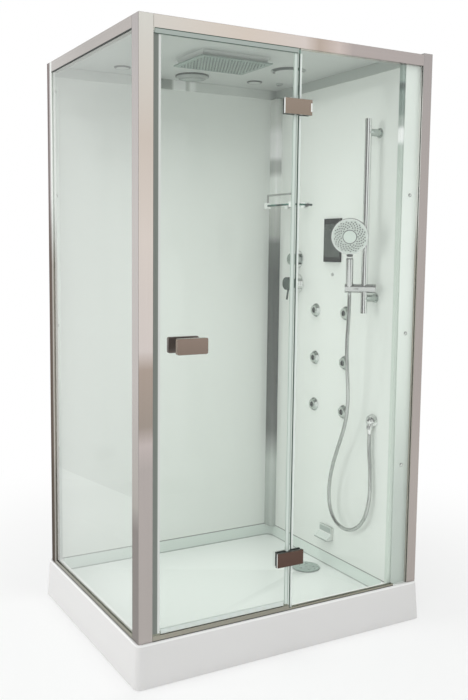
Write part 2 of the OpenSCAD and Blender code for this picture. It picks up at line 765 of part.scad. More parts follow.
module shelf_rail() color("silver") {
    x_rail = x_wall - shelf_w + 8;
    y_ends = [shelf_y + 10, shelf_y + shelf_l - 10];
    z_glass = shelf_z + shelf_t;
    pipe([[x_rail, y_ends[0], z_glass + 4], [x_rail, y_ends[0], z_glass + guard_h],
        [x_rail, y_ends[1], z_glass + guard_h], [x_rail, y_ends[1], z_glass + 4]], guard_r);
    for (y = y_ends) difference() {
        block([x_rail - 14, y - 7, shelf_z - 8], [x_rail + 9, y + 7, z_glass + 8]);
        block([x_wall - shelf_w, y - 8, shelf_z], [x_rail + 10, y + 8, z_glass]);
    }
    for (y = [shelf_y + 40, shelf_y + shelf_l - 40]) difference() {
        block([x_wall - 22, y - 10, shelf_z - 8], [x_wall, y + 10, z_glass + 8]);
        block([x_wall - 23, y - 11, shelf_z], [x_wall - seat, y + 11, z_glass]);
    }
}

// Mixer and diverter
module valve_body() color("darkkhaki") {
    z_top = mixer_z + valve_pitch;
    block([valve_x0, valve_y - valve_half, mixer_z - 32],
        [valve_x0 + valve_t, valve_y + valve_half, z_top + 34]);
    for (z = [mixer_z, z_top]) rod_x(x_wall, valve_x0, valve_y, z, neck_r);
    for (z = [mixer_z - 16, mixer_z + 30])
        rod_x(valve_x0 + valve_t, valve_x0 + valve_t + inlet_l, valve_y, z, inlet_r);
}

module valve_rosettes() color("silver") {
    difference() {
        union() {
            rod_x(x_wall - rosette_t, x_wall, valve_y, mixer_z, 38.5);
            rod_x(collar_x, x_wall - rosette_t, valve_y, mixer_z, collar_r);
        }
        rod_x(collar_x - cut, x_wall + cut, valve_y, mixer_z, stem_r + run);
    }
    difference() {
        rod_x(x_wall - rosette_t, x_wall, valve_y, mixer_z + valve_pitch, 35.5);
        rod_x(x_wall - 6, x_wall + cut, valve_y, mixer_z + valve_pitch, 8 + run);
    }
}

module mixer_stem() color("silver") translate([ball_x, valve_y, mixer_z]) rotate([0, 90, 0]) {
    sphere(r = ball_r);
    cylinder(r = stem_r, h = x_wall - seat - ball_x);
}

module mixer_lever() color("silver") difference() {
    union() {
        rod_x(cap_x0, cap_x0 + cap_len, valve_y, mixer_z, mixer_r);
        pipe([[cap_x0 + 13, valve_y, mixer_z - mixer_r + 3],
            [cap_x0 + 6, valve_y, mixer_z - mixer_r - 42]], 4);
    }
    translate([ball_x, valve_y, mixer_z]) sphere(r = ball_r + seat);
    rod_x(ball_x, cap_x0 + cap_len + cut, valve_y, mixer_z, ball_r + 2);
}

module diverter_knob() color("silver") {
    z = mixer_z + valve_pitch;
    difference() {
        rod_x(x_wall - rosette_t - seat - diverter_l, x_wall - rosette_t - seat, valve_y, z, diverter_r);
        rod_x(x_wall - rosette_t - seat - 5, x_wall, valve_y, z, diverter_r - 4);
    }
    rod_x(x_wall - rosette_t - seat - 6, x_wall - seat, valve_y, z, 8);
}

// Body jets: a ring in front and a barrel behind hold a ball that swivels.
// Each is drawn along its own axis, which then turns to point into the cabin.
module at_jet(column, row)
    translate([x_wall, jet_y[column], jet_z + row * jet_pitch]) rotate([0, -90, 0]) children();

module jet_ring() difference() {
    union() {
        cylinder(r1 = jet_d / 2, r2 = jet_neck_r, h = jet_out);
        translate([0, 0, jet_ball_in]) cylinder(r = jet_neck_r - 2, h = -jet_ball_in);
    }
    translate([0, 0, jet_ball_in]) sphere(r = jet_ball_r + seat);
    translate([0, 0, jet_ball_in]) cylinder(r = jet_ball_r - 3, h = jet_out - jet_ball_in + cut);
}

module jet_barrel() difference() {
    union() {
        translate([0, 0, -jet_tail]) cylinder(r = jet_neck_r, h = jet_tail);
        translate([0, 0, -glass_t - 6]) cylinder(r = 27, h = 6, $fn = 6);
    }
    translate([0, 0, jet_ball_in]) cylinder(r = jet_neck_r - 2 + seat, h = cut - jet_ball_in);
    translate([0, 0, jet_ball_in]) sphere(r = jet_ball_r + seat);
    translate([0, 0, -jet_tail - cut]) cylinder(r = 6, h = jet_tail);
}

module jet_rings() color("silver") {
    for (column = [0, 1], row = [0 : 2]) at_jet(column, row) jet_ring();
}

module jet_barrels() color("dimgray") {
    for (column = [0, 1], row = [0 : 2]) at_jet(column, row) jet_barrel();
}

module jet_nozzle(column, row) color("dimgray") at_jet(column, row) difference() {
    translate([0, 0, jet_ball_in]) sphere(r = jet_ball_r);
    translate([0, 0, jet_ball_in + jet_ball_r - 2]) cylinder(r = jet_ball_r, h = 2 + cut);
    translate([0, 0, jet_ball_in - jet_ball_r - cut]) cylinder(r = 3, h = 2 * jet_ball_r + 2 * cut);
}

// Control panel and its temperature probe
module control_panel() color("darkslategray") {
    block([x_wall - panel_t, panel_y - panel_w / 2, panel_z],
        [x_wall, panel_y + panel_w / 2, panel_z + panel_h]);
    rod_x(x_wall, x_wall + glass_t + 4, panel_y, panel_z + panel_h / 2, 12);
    rod_x(x_wall - 5, x_wall, panel_y, sensor_z, 6);
    rod_x(x_wall, x_wall + glass_t + 4, panel_y, sensor_z, 4);
}

// Riser rail, slider and hand shower
module riser_rail() color("silver") difference() {
    rod_z(riser_z, riser_z + riser_l, riser_x, riser_y, riser_d / 2);
    rod_z(riser_z + 3, riser_z + riser_l - 3, riser_x, riser_y, riser_d / 2 - riser_wall);
}

module rail_brackets() color("silver") {
    for (z = bracket_z) difference() {
        union() {
            rod_x(riser_x, x_wall, riser_y, z, bracket_r);
            rod_x(x_wall - 4, x_wall, riser_y, z, bracket_r + 5);
        }
        rod_z(z - 20, z + 20, riser_x, riser_y, riser_d / 2 + run);
    }
}

module at_slider() translate([riser_x, riser_y, slider_z]) rotate([0, 0, bar_turn]) children();

module slider() color("silver") difference() {
    union() {
        at_slider() rod_x(slider_s0, slider_s1, 0, 0, slider_d / 2);
        at_slider() rod_x(slider_s0 - pivot_pin_l, slider_s0, 0, 0, pivot_pin_r);
    }
    rod_z(slider_z - slider_d, slider_z + slider_d, riser_x, riser_y, riser_d / 2 + run);
}

module in_holder() at_slider() translate([holder_s, 0, 0]) rotate([holder_lean, 0, 0]) children();

module handset_holder() color("silver") difference() {
    at_slider() rod_x(holder_s0, slider_s0 - seat, 0, 0, slider_d / 2);
    at_slider() rod_x(slider_s0 - pivot_pin_l - seat, slider_s0, 0, 0, pivot_pin_r + run);
    in_holder() rod_z(0, slider_d, 0, 0, grip_r + seat);
    in_holder() rod_z(-slider_d, cut, 0, 0, tail_r + seat);
}

module handset() color("lightgray") in_holder() {
    rod_z(-tail_l, 1, 0, 0, tail_r);
    rod_z(0, 114, 0, 0, grip_r);
    rod_z(114, head_z - handset_r + 3, 0, 0, grip_r - 2);
    rod_y(-head_t / 2, 3, 0, head_z, handset_r);
    translate([0, 3, head_z]) rotate([-90, 0, 0])
        cylinder(r1 = handset_r, r2 = handset_r - 22, h = head_t / 2 - 3);
}

module handset_face() color("gray") in_holder()
    rod_y(-head_t / 2 - 2, -head_t / 2, 0, head_z, handset_r - 4);

module hose() color("silver")
    swept_tube(smooth_route(HOSE_ROUTE, 2), hose_d / 2, 12);

module wall_elbow() color("silver") {
    rod_x(x_wall, x_wall + jet_tail - seat, elbow_y, elbow_z, 10);
    translate([x_wall, elbow_y, elbow_z]) rotate([0, -90, 0]) cylinder(r1 = 26, r2 = 21, h = 16);
    translate([elbow_x, elbow_y, elbow_z]) sphere(r = 15);
    rod_z(ferrule_z + 33, elbow_z, elbow_x, elbow_y, 10);
    translate([elbow_x, elbow_y, ferrule_z + 18]) cylinder(r = 12.5, h = 15, $fn = 6);
    translate([elbow_x, elbow_y, ferrule_z]) cylinder(r1 = hose_d / 2, r2 = 9.5, h = 18);
}

// Steam equipment
module steam_outlet() color("lightgray") {
    translate([0, steam_y + steam_w / 2, 0]) rotate([90, 0, 0]) linear_extrude(steam_w)
        polygon([[x_wall, steam_z], [x_wall - steam_nose, steam_z],
            [x_wall - steam_nose, steam_z + 0.08 * steam_h],
            [x_wall - steam_back, steam_z + 0.45 * steam_h],
            [x_wall - steam_back, steam_z + steam_h], [x_wall, steam_z + steam_h]]);
    rod_x(x_wall, x_wall + glass_t + 12, steam_y, steam_pipe_z, 9);
}

module steam_generator() color("gainsboro") {
    a = [x_wall + 12, gen_y, tray_h];
    b = a + [gen_w, gen_l, gen_h];
    skin = [gen_t, gen_t, gen_t];
    difference() {
        block(a, b);
        block(a + skin, b - skin);
    }
    rod_y(b[1], b[1] + 16, a[0] + gen_w / 2, a[2] + gen_h / 2, 9);
}

module supply_pipes() color("peru") {
    r = pipe_d / 2;
    x = pipe_x;
    z_jets = jet_z + 2 * jet_pitch;
    z_roof = z_ceil + roof_t + r;
    valve_foot = mixer_z - 32;
    pipe([[x, jet_y[0], jet_z], [x, jet_y[0], z_jets + 50], [x, jet_y[1], z_jets + 50]], r);
    pipe([[x, jet_y[1], jet_z], [x, jet_y[1], mixer_z + 30], [x, valve_y - valve_half, mixer_z + 30]], r);
    pipe([[x, valve_y, valve_foot], [x, valve_y, tray_h + gen_h]], r);
    pipe([[x, valve_y, elbow_z - 63], [x, elbow_y, elbow_z - 63], [x, elbow_y, elbow_z + r]], r);
    pipe([[x, valve_y, mixer_z + valve_pitch + 34], [x, valve_y, z_roof], [rain_x, valve_y, z_roof],
        [rain_x, rain_y, z_roof], [rain_x, rain_y, z_ceil + roof_t]], r);
    pipe([[x, gen_y, steam_pipe_z], [x, steam_y, steam_pipe_z],
        [x_wall + glass_t + 12, steam_y, steam_pipe_z]], r);
}

shower_tray();
tray_frame();
tray_feet();
waste_trap();
drain_cover();
front_left_post();
rear_left_post();
front_right_post();
wall_profiles();
front_top_rail();
left_top_rail();
wall_top_rails();
bottom_channels();
door_sill();
left_glass();
fixed_glass();
door_glass();
frame_seals();
door_seals();
hinge_front_plates();
hinge_fixed_clamps();
hinge_door_clamps();
hinge_pins();
handle_outer();
handle_inner();
rear_wall();
right_wall();
wall_flanges();
screw_caps();
roof_panel();
rain_head();
ceiling_lights();
ceiling_speaker();
shelf_glass();
shelf_rail();
valve_body();
valve_rosettes();
mixer_stem();
mixer_lever();
diverter_knob();
jet_rings();
jet_barrels();
jet_nozzle(0, 0);  // jet_nozzle_1
jet_nozzle(0, 1);  // jet_nozzle_2
jet_nozzle(0, 2);  // jet_nozzle_3
jet_nozzle(1, 0);  // jet_nozzle_4
jet_nozzle(1, 1);  // jet_nozzle_5
jet_nozzle(1, 2);  // jet_nozzle_6
control_panel();
riser_rail();
rail_brackets();
slider();
handset_holder();
handset();
handset_face();
hose();
wall_elbow();
steam_outlet();
steam_generator();
supply_pipes();
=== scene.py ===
import json
import math
import bpy
from mathutils import Matrix, Vector

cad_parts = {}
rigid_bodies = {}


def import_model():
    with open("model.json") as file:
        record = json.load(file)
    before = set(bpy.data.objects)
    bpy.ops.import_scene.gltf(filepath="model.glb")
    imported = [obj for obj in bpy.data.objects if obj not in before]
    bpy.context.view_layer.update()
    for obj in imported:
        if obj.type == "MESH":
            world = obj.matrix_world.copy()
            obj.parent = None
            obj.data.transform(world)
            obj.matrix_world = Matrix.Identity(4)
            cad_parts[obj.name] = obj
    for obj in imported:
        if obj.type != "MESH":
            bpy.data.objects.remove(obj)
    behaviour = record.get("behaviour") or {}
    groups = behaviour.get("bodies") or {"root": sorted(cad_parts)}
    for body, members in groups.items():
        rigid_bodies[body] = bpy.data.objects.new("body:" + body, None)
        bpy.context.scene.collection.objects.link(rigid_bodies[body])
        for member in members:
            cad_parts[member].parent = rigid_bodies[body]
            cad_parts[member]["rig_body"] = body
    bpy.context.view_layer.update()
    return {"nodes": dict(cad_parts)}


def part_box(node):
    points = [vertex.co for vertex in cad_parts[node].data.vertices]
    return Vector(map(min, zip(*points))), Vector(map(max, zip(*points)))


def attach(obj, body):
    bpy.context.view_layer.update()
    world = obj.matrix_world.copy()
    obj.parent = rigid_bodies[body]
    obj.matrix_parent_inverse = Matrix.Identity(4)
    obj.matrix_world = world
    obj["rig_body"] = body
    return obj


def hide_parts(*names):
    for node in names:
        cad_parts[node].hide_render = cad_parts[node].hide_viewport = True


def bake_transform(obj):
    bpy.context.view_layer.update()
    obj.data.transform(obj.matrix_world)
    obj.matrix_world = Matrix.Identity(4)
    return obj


# Shower cabin: finishes, trim, hose, camera and studio round the solids of the model
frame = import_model()
CAD_NODES = frame["nodes"]

# The photograph's frame and the camera fitted to it
PHOTO_W, PHOTO_H = 468, 700
FOCAL_PX = 851.3
OPTICAL_X, OPTICAL_Y = 202.5, 337.0
CAMERA_AT = (-1.6643, -2.8262, 1.4182)
CAMERA_YAW, CAMERA_PITCH, CAMERA_ROLL = 28.63, 5.93, 0.45

# The shower hose, along the route that the model gives it
HOSE_D = 0.014
HOSE_ROUTE = [(0.3714, -0.2547, 1.2584), (0.374, -0.252, 1.241), (0.374, -0.252, 1.210),
              (0.372, -0.254, 1.170), (0.370, -0.253, 1.120), (0.371, -0.249, 1.070),
              (0.374, -0.246, 1.010), (0.379, -0.245, 0.950), (0.385, -0.243, 0.890),
              (0.391, -0.237, 0.830), (0.397, -0.222, 0.765), (0.402, -0.196, 0.700),
              (0.407, -0.163, 0.635), (0.412, -0.129, 0.565), (0.417, -0.104, 0.495),
              (0.421, -0.093, 0.430), (0.425, -0.097, 0.370), (0.428, -0.122, 0.327),
              (0.432, -0.160, 0.306), (0.435, -0.205, 0.305), (0.438, -0.250, 0.325),
              (0.442, -0.284, 0.362), (0.445, -0.304, 0.410), (0.447, -0.314, 0.465),
              (0.449, -0.313, 0.525), (0.450, -0.309, 0.580), (0.450, -0.303, 0.630),
              (0.450, -0.300, 0.670), (0.450, -0.300, 0.712)]


# Small helpers
def deselect():
    bpy.ops.object.select_all(action="DESELECT")


def pick(piece):
    deselect()
    piece.select_set(True)
    bpy.context.view_layer.objects.active = piece
    return piece


def add_modifier(piece, kind, **settings):
    pick(piece)
    modifier = piece.modifiers.new(kind.lower(), kind)
    for key, value in settings.items():
        setattr(modifier, key, value)
    bpy.ops.object.modifier_apply(modifier=modifier.name)


def smooth(piece):
    pick(piece)
    bpy.ops.object.shade_smooth_by_angle(angle=math.radians(32))


def soften_edges(piece, width, segments=2):
    smooth(piece)
    add_modifier(piece, "BEVEL", width=width, segments=segments, limit_method="ANGLE",
                 angle_limit=math.radians(30), harden_normals=True)


def block(name, low, high):
    deselect()
    middle = [(a + b) / 2 for a, b in zip(low, high)]
    size = [b - a for a, b in zip(low, high)]
    bpy.ops.mesh.primitive_cube_add(size=1, location=middle, scale=size)
    piece = bpy.context.object
    piece.name = name
    bpy.ops.object.transform_apply(location=True, rotation=True, scale=True)
    return piece


def disc(name, centre, radius, depth, direction, vertices=48):
    deselect()
    turn = Vector(direction).to_track_quat("Z", "Y").to_euler()
    bpy.ops.mesh.primitive_cylinder_add(vertices=vertices, radius=radius, depth=depth,
                                        location=centre, rotation=turn)
    piece = bpy.context.object
    piece.name = name
    bpy.ops.object.transform_apply(location=True, rotation=True, scale=True)
    return piece


def select_faces(piece, wanted):
    pick(piece)
    bpy.ops.object.mode_set(mode="EDIT")
    bpy.ops.mesh.select_mode(type="FACE")
    bpy.ops.mesh.select_all(action="DESELECT")
    bpy.ops.object.mode_set(mode="OBJECT")
    for face in piece.data.polygons:
        face.select = wanted(face)
    bpy.ops.object.mode_set(mode="EDIT")


def done_editing():
    bpy.ops.object.mode_set(mode="OBJECT")


def join(name, pieces):
    deselect()
    for piece in pieces:
        piece.select_set(True)
    bpy.context.view_layer.objects.active = pieces[0]
    bpy.ops.object.join()
    whole = bpy.context.object
    whole.name = name
    return whole


def copy_at(piece, offset):
    twin = piece.copy()
    twin.data = piece.data.copy()
    bpy.context.scene.collection.objects.link(twin)
    twin.data.transform(Matrix.Translation(offset))
    return twin


def set_material(piece, material):
    piece.data.materials.clear()
    piece.data.materials.append(material)


# Puts a piece in the place of a node of the model, on that node's body
def stand_for(piece, node):
    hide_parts(node)
    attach(piece, CAD_NODES[node]["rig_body"])
    return piece


def finish_piece(piece, material, node):
    set_material(piece, material)
    return stand_for(piece, node)


# A copy of a solid from the model, merged into one clean mesh that can be worked on
def merged_copy(node):
    source = CAD_NODES[node]
    piece = source.copy()
    piece.data = source.data.copy()
    for key in list(piece.keys()):
        del piece[key]
    piece.parent = None
    bpy.context.scene.collection.objects.link(piece)
    piece.name = node + "_finished"
    pick(piece)
    bpy.ops.object.mode_set(mode="EDIT")
    bpy.ops.mesh.select_all(action="SELECT")
    bpy.ops.mesh.remove_doubles(threshold=0.00002)
    bpy.ops.mesh.dissolve_limited(angle_limit=math.radians(0.4))
    done_editing()
    return piece


# Splits a piece along a plane, so that the two sides can get their own finish
def split_at(piece, place, direction):
    pick(piece)
    bpy.ops.object.mode_set(mode="EDIT")
    bpy.ops.mesh.select_all(action="SELECT")
    bpy.ops.mesh.bisect(plane_co=place, plane_no=direction)
    done_editing()


# Gives the faces that wanted picks a finish of their own
def paint(piece, material, wanted):
    piece.data.materials.append(material)
    index = len(piece.data.materials) - 1
    for face in piece.data.polygons:
        if wanted(face):
            face.material_index = index


# Sinks or raises the chosen faces inside a rim of the given width
def inset_faces(piece, wanted, rim, depth=0.0):
    select_faces(piece, wanted)
    bpy.ops.mesh.inset(thickness=rim, depth=depth, use_individual=True)
    done_editing()


# The same solid with its arrises taken off, as the real extrusion or casting has them
def softened_node(node, material, width, segments=2):
    piece = merged_copy(node)
    soften_edges(piece, width, segments)
    return finish_piece(piece, material, node)


# Node groups shared by several materials
def new_group(name, inputs, outputs):
    group = bpy.data.node_groups.new(name, "ShaderNodeTree")
    for label, kind, value in inputs:
        socket = group.interface.new_socket(name=label, in_out="INPUT", socket_type=kind)
        socket.default_value = value
    for label, kind in outputs:
        group.interface.new_socket(name=label, in_out="OUTPUT", socket_type=kind)
    return group, group.nodes.new("NodeGroupInput"), group.nodes.new("NodeGroupOutput")


def add_math(nodes, operation):
    node = nodes.new("ShaderNodeMath")
    node.operation = operation
    return node


def add_vector_math(nodes, operation):
    node = nodes.new("ShaderNodeVectorMath")
    node.operation = operation
    return node


# Soft unevenness of a polished or moulded surface: a roughness that wanders and a faint height
def make_surface_unevenness():
    group, given, result = new_group(
        "Surface Unevenness",
        [("Scale", "NodeSocketFloat", 40.0), ("Roughness", "NodeSocketFloat", 0.2),
         ("Spread", "NodeSocketFloat", 0.05)],
        [("Roughness", "NodeSocketFloat"), ("Height", "NodeSocketFloat")])
    nodes, links = group.nodes, group.links
    place = nodes.new("ShaderNodeTexCoord")
    noise = nodes.new("ShaderNodeTexNoise")
    noise.inputs["Detail"].default_value = 3.0
    centred = add_math(nodes, "SUBTRACT")
    centred.inputs[1].default_value = 0.5
    spread = add_math(nodes, "MULTIPLY")
    total = add_math(nodes, "ADD")
    links.new(place.outputs["Object"], noise.inputs["Vector"])
    links.new(given.outputs["Scale"], noise.inputs["Scale"])
    links.new(noise.outputs["Fac"], centred.inputs[0])
    links.new(centred.outputs[0], spread.inputs[0])
    links.new(given.outputs["Spread"], spread.inputs[1])
    links.new(spread.outputs[0], total.inputs[0])
    links.new(given.outputs["Roughness"], total.inputs[1])
    links.new(total.outputs[0], result.inputs["Roughness"])
    links.new(noise.outputs["Fac"], result.inputs["Height"])
    return group


# Long fine streaks left by drawing or brushing, along one axis
def make_drawn_streaks():
    group, given, result = new_group(
        "Drawn Streaks",
        [("Across", "NodeSocketVector", (220.0, 220.0, 2.0)),
         ("Color", "NodeSocketColor", (0.8, 0.8, 0.8, 1)),
         ("Contrast", "NodeSocketFloat", 0.08)],
        [("Color", "NodeSocketColor"), ("Height", "NodeSocketFloat")])
    nodes, links = group.nodes, group.links
    place = nodes.new("ShaderNodeTexCoord")
    stretch = add_vector_math(nodes, "MULTIPLY")
    noise = nodes.new("ShaderNodeTexNoise")
    noise.inputs["Scale"].default_value = 1.0
    noise.inputs["Detail"].default_value = 2.0
    centred = add_math(nodes, "SUBTRACT")
    centred.inputs[1].default_value = 0.5
    strength = add_math(nodes, "MULTIPLY_ADD")
    strength.inputs[2].default_value = 1.0
    shade = add_vector_math(nodes, "SCALE")
    links.new(place.outputs["Object"], stretch.inputs[0])
    links.new(given.outputs["Across"], stretch.inputs[1])
    links.new(stretch.outputs[0], noise.inputs["Vector"])
    links.new(noise.outputs["Fac"], centred.inputs[0])
    links.new(centred.outputs[0], strength.inputs[0])
    links.new(given.outputs["Contrast"], strength.inputs[1])
    links.new(given.outputs["Color"], shade.inputs[0])
    links.new(strength.outputs[0], shade.inputs["Scale"])
    links.new(shade.outputs["Vector"], result.inputs["Color"])
    links.new(noise.outputs["Fac"], result.inputs["Height"])
    return group


UNEVENNESS = make_surface_unevenness()
STREAKS = make_drawn_streaks()
BUMP_DEPTH = 0.0002


def new_material(name, color, **sockets):
    material = bpy.data.materials.new(name)
    material.use_nodes = True
    surface = material.node_tree.nodes["Principled BSDF"]
    surface.inputs["Base Color"].default_value = (*color, 1)
    for key, value in sockets.items():
        surface.inputs[key.replace("_", " ")].default_value = value
    return material, surface


def add_bump(material, surface, height, strength):
    bump = material.node_tree.nodes.new("ShaderNodeBump")
    bump.inputs["Strength"].default_value = strength
    bump.inputs["Distance"].default_value = BUMP_DEPTH
    material.node_tree.links.new(height, bump.inputs["Height"])
    material.node_tree.links.new(bump.outputs["Normal"], surface.inputs["Normal"])


def add_unevenness(material, surface, scale, roughness, spread, bump=0.0):
    node = material.node_tree.nodes.new("ShaderNodeGroup")
    node.node_tree = UNEVENNESS
    node.inputs["Scale"].default_value = scale
    node.inputs["Roughness"].default_value = roughness
    node.inputs["Spread"].default_value = spread
    material.node_tree.links.new(node.outputs["Roughness"], surface.inputs["Roughness"])
    if bump:
        add_bump(material, surface, node.outputs["Height"], bump)


def add_streaks(material, surface, color, across, contrast):
    node = material.node_tree.nodes.new("ShaderNodeGroup")
    node.node_tree = STREAKS
    node.inputs["Across"].default_value = across
    node.inputs["Color"].default_value = (*color, 1)
    node.inputs["Contrast"].default_value = contrast
    material.node_tree.links.new(node.outputs["Color"], surface.inputs["Base Color"])
    return node


# Where a point lies along a profile, from 0 at its start to 1 at its end
def make_place_along():
    group, given, result = new_group(
        "Place Along",
        [("Direction", "NodeSocketVector", (0, 0, 1)), ("Start", "NodeSocketFloat", 0.0),
         ("Length", "NodeSocketFloat", 1.0)],
        [("Place", "NodeSocketFloat")])
    nodes, links = group.nodes, group.links
    place = nodes.new("ShaderNodeTexCoord")
    along = add_vector_math(nodes, "DOT_PRODUCT")
    shifted = add_math(nodes, "SUBTRACT")
    share = add_math(nodes, "DIVIDE")
    links.new(place.outputs["Object"], along.inputs[0])
    links.new(given.outputs["Direction"], along.inputs[1])
    links.new(along.outputs["Value"], shifted.inputs[0])
    links.new(given.outputs["Start"], shifted.inputs[1])
    links.new(shifted.outputs[0], share.inputs[0])
    links.new(given.outputs["Length"], share.inputs[1])
    links.new(share.outputs[0], result.inputs["Place"])
    return group


PLACE_ALONG = make_place_along()
DULL_RIM = 0.35


# Polished profile: fine drawn streaks over tones that change slowly along its length; the tones are
# painted reflections and painted shade. tones is a list of (position in metres along the direction, colour),
# and rim is how bright the metal stays at a grazing view
def make_profile_metal(name, direction, tones, roughness=0.24, contrast=0.05, metallic=1.0, rim=1.0):
    material, surface = new_material(name, tones[0][1], Metallic=metallic)
    surface.inputs["Specular Tint"].default_value = (rim, rim, rim, 1)
    nodes, links = material.node_tree.nodes, material.node_tree.links
    start, end = tones[0][0], tones[-1][0]
    place = nodes.new("ShaderNodeGroup")
    place.node_tree = PLACE_ALONG
    place.inputs["Direction"].default_value = direction
    place.inputs["Start"].default_value = start
    place.inputs["Length"].default_value = end - start
    ramp = nodes.new("ShaderNodeValToRGB")
    stops = ramp.color_ramp.elements
    stops[0].color = (*tones[0][1], 1)
    stops[1].color = (*tones[-1][1], 1)
    for at, color in tones[1:-1]:
        stops.new((at - start) / (end - start)).color = (*color, 1)
    links.new(place.outputs["Place"], ramp.inputs["Fac"])
    across = tuple(1.2 if part else 160.0 for part in direction)
    node = add_streaks(material, surface, tones[0][1], across, contrast)
    links.new(ramp.outputs["Color"], node.inputs["Color"])
    add_unevenness(material, surface, 6, roughness, 0.06)
    return material


def make_chrome(name, color, roughness=0.07):
    material, surface = new_material(name, color, Metallic=1.0, Roughness=roughness)
    surface.inputs["Specular Tint"].default_value = (DULL_RIM, DULL_RIM, DULL_RIM, 1)
    add_unevenness(material, surface, 60, roughness, 0.05)
    return material


def make_plastic(name, color, roughness, spread=0.06, scale=60, bump=0.0, **sockets):
    material, surface = new_material(name, color, **sockets)
    add_unevenness(material, surface, scale, roughness, spread, bump)
    return material


# Rays mirrored by a surface that haven't gone through a pane
def mirrored_rays(nodes, links, rays):
    mirrored = add_math(nodes, "SUBTRACT")
    mirrored.use_clamp = True
    links.new(rays.outputs["Is Glossy Ray"], mirrored.inputs[0])
    links.new(rays.outputs["Is Transmission Ray"], mirrored.inputs[1])
    return mirrored.outputs[0]


def join_rays(nodes, links, rays, first, others):
    for ray in others:
        either = add_math(nodes, "MAXIMUM")
        links.new(first, either.inputs[0])
        links.new(rays.outputs[ray], either.inputs[1])
        first = either.outputs[0]
    return first


# Light and reflections pass straight through a pane; only the view itself is bent and mirrored by it
def rays_through_panes(nodes, links):
    rays = nodes.new("ShaderNodeLightPath")
    mirrored = mirrored_rays(nodes, links, rays)
    return join_rays(nodes, links, rays, mirrored, ("Is Shadow Ray", "Is Diffuse Ray"))


# Clear glass whose cut edges look deep green; thin_axis is the pane's own axis across its thickness
def make_clear_glass(name, face_color, edge_color, thin_axis):
    material, surface = new_material(name, face_color, Roughness=0.0, IOR=1.45)
    surface.inputs["Specular IOR Level"].default_value = PANE_MIRROR
    surface.inputs["Transmission Weight"].default_value = 1.0
    nodes, links = material.node_tree.nodes, material.node_tree.links
    geometry = nodes.new("ShaderNodeNewGeometry")
    own_normal = nodes.new("ShaderNodeVectorTransform")
    own_normal.vector_type = "NORMAL"
    own_normal.convert_from = "WORLD"
    own_normal.convert_to = "OBJECT"
    split = nodes.new("ShaderNodeSeparateXYZ")
    size = add_math(nodes, "ABSOLUTE")
    face = add_math(nodes, "GREATER_THAN")
    face.inputs[1].default_value = 0.7
    tint = nodes.new("ShaderNodeMix")
    tint.data_type = "RGBA"
    tint.inputs["A"].default_value = (*edge_color, 1)
    tint.inputs["B"].default_value = (*face_color, 1)
    links.new(geometry.outputs["True Normal"], own_normal.inputs[0])
    links.new(own_normal.outputs[0], split.inputs[0])
    links.new(split.outputs[thin_axis], size.inputs[0])
    links.new(size.outputs[0], face.inputs[0])
    links.new(face.outputs[0], tint.inputs["Factor"])
    links.new(tint.outputs["Result"], surface.inputs["Base Color"])
    clear = nodes.new("ShaderNodeBsdfTransparent")
    clear.inputs["Color"].default_value = (*PANE_PASS, 1)
    blend = nodes.new("ShaderNodeMixShader")
    links.new(rays_through_panes(nodes, links), blend.inputs[0])
    links.new(surface.outputs[0], blend.inputs[1])
    links.new(clear.outputs[0], blend.inputs[2])
    links.new(blend.outputs[0], nodes["Material Output"].inputs["Surface"])
    return material


UP = (0, 0, 1)
ALONG_X = (1, 0, 0)
ALONG_Y = (0, 1, 0)

# The tint of light that has gone through a pane, and how strongly a pane mirrors
PANE_PASS = (0.985, 0.995, 0.988)
PANE_MIRROR = 0.12

# Drawn profiles of the frame and walls; where their tones change along the length, the bright and dark
# lengths are painted reflections and painted shade
POST_PAINTED_REFLECTIONS = make_profile_metal("post aluminium", UP, [
    (0.15, (0.45, 0.415, 0.395)), (0.72, (0.45, 0.41, 0.39)), (0.80, (0.54, 0.48, 0.46)),
    (0.86, (0.36, 0.31, 0.27)), (1.04, (0.42, 0.35, 0.30)), (1.10, (0.66, 0.60, 0.57)),
    (1.45, (0.70, 0.63, 0.58)), (1.75, (0.63, 0.56, 0.50)), (2.12, (0.69, 0.68, 0.63))])
POST_SIDE_PAINTED_SHADE = make_profile_metal("side aluminium", UP, [
    (0.15, (0.22, 0.195, 0.18)), (0.52, (0.24, 0.21, 0.195)), (0.60, (0.40, 0.37, 0.34)),
    (1.00, (0.52, 0.48, 0.46)), (1.50, (0.56, 0.52, 0.50)), (2.12, (0.46, 0.43, 0.42))])
REAR_POST_PAINTED_REFLECTIONS = make_profile_metal("rear post aluminium", UP, [
    (0.15, (0.24, 0.22, 0.19)), (0.52, (0.26, 0.24, 0.21)), (0.60, (0.34, 0.31, 0.27)),
    (1.35, (0.38, 0.35, 0.31)), (1.52, (0.70, 0.72, 0.69)), (1.62, (0.88, 0.90, 0.87)),
    (2.12, (0.88, 0.90, 0.87))], metallic=0.3)
SIDE_PAINTED_DARK_REFLECTION = make_profile_metal("side aluminium painted dark reflection", UP, [
    (0.15, (0.20, 0.17, 0.15)), (0.55, (0.21, 0.18, 0.155)), (0.62, (0.24, 0.195, 0.17)),
    (1.40, (0.26, 0.21, 0.185)), (1.60, (0.38, 0.33, 0.32)), (2.12, (0.40, 0.34, 0.335))], rim=DULL_RIM)
SIDE_PAINTED_HIGHLIGHT = make_profile_metal("side aluminium painted highlight", UP, [
    (0.15, (0.22, 0.195, 0.165)), (0.55, (0.23, 0.205, 0.17)), (0.62, (0.25, 0.22, 0.185)),
    (1.35, (0.28, 0.24, 0.21)), (1.50, (0.50, 0.46, 0.44)), (1.62, (0.80, 0.77, 0.76)),
    (2.12, (0.82, 0.79, 0.78))], rim=DULL_RIM)
RIGHT_METAL = make_profile_metal("right post aluminium", UP, [
    (0.15, (0.42, 0.38, 0.355)), (0.60, (0.43, 0.39, 0.365)), (1.00, (0.41, 0.37, 0.35)),
    (1.50, (0.43, 0.39, 0.37)), (2.12, (0.40, 0.37, 0.36))])
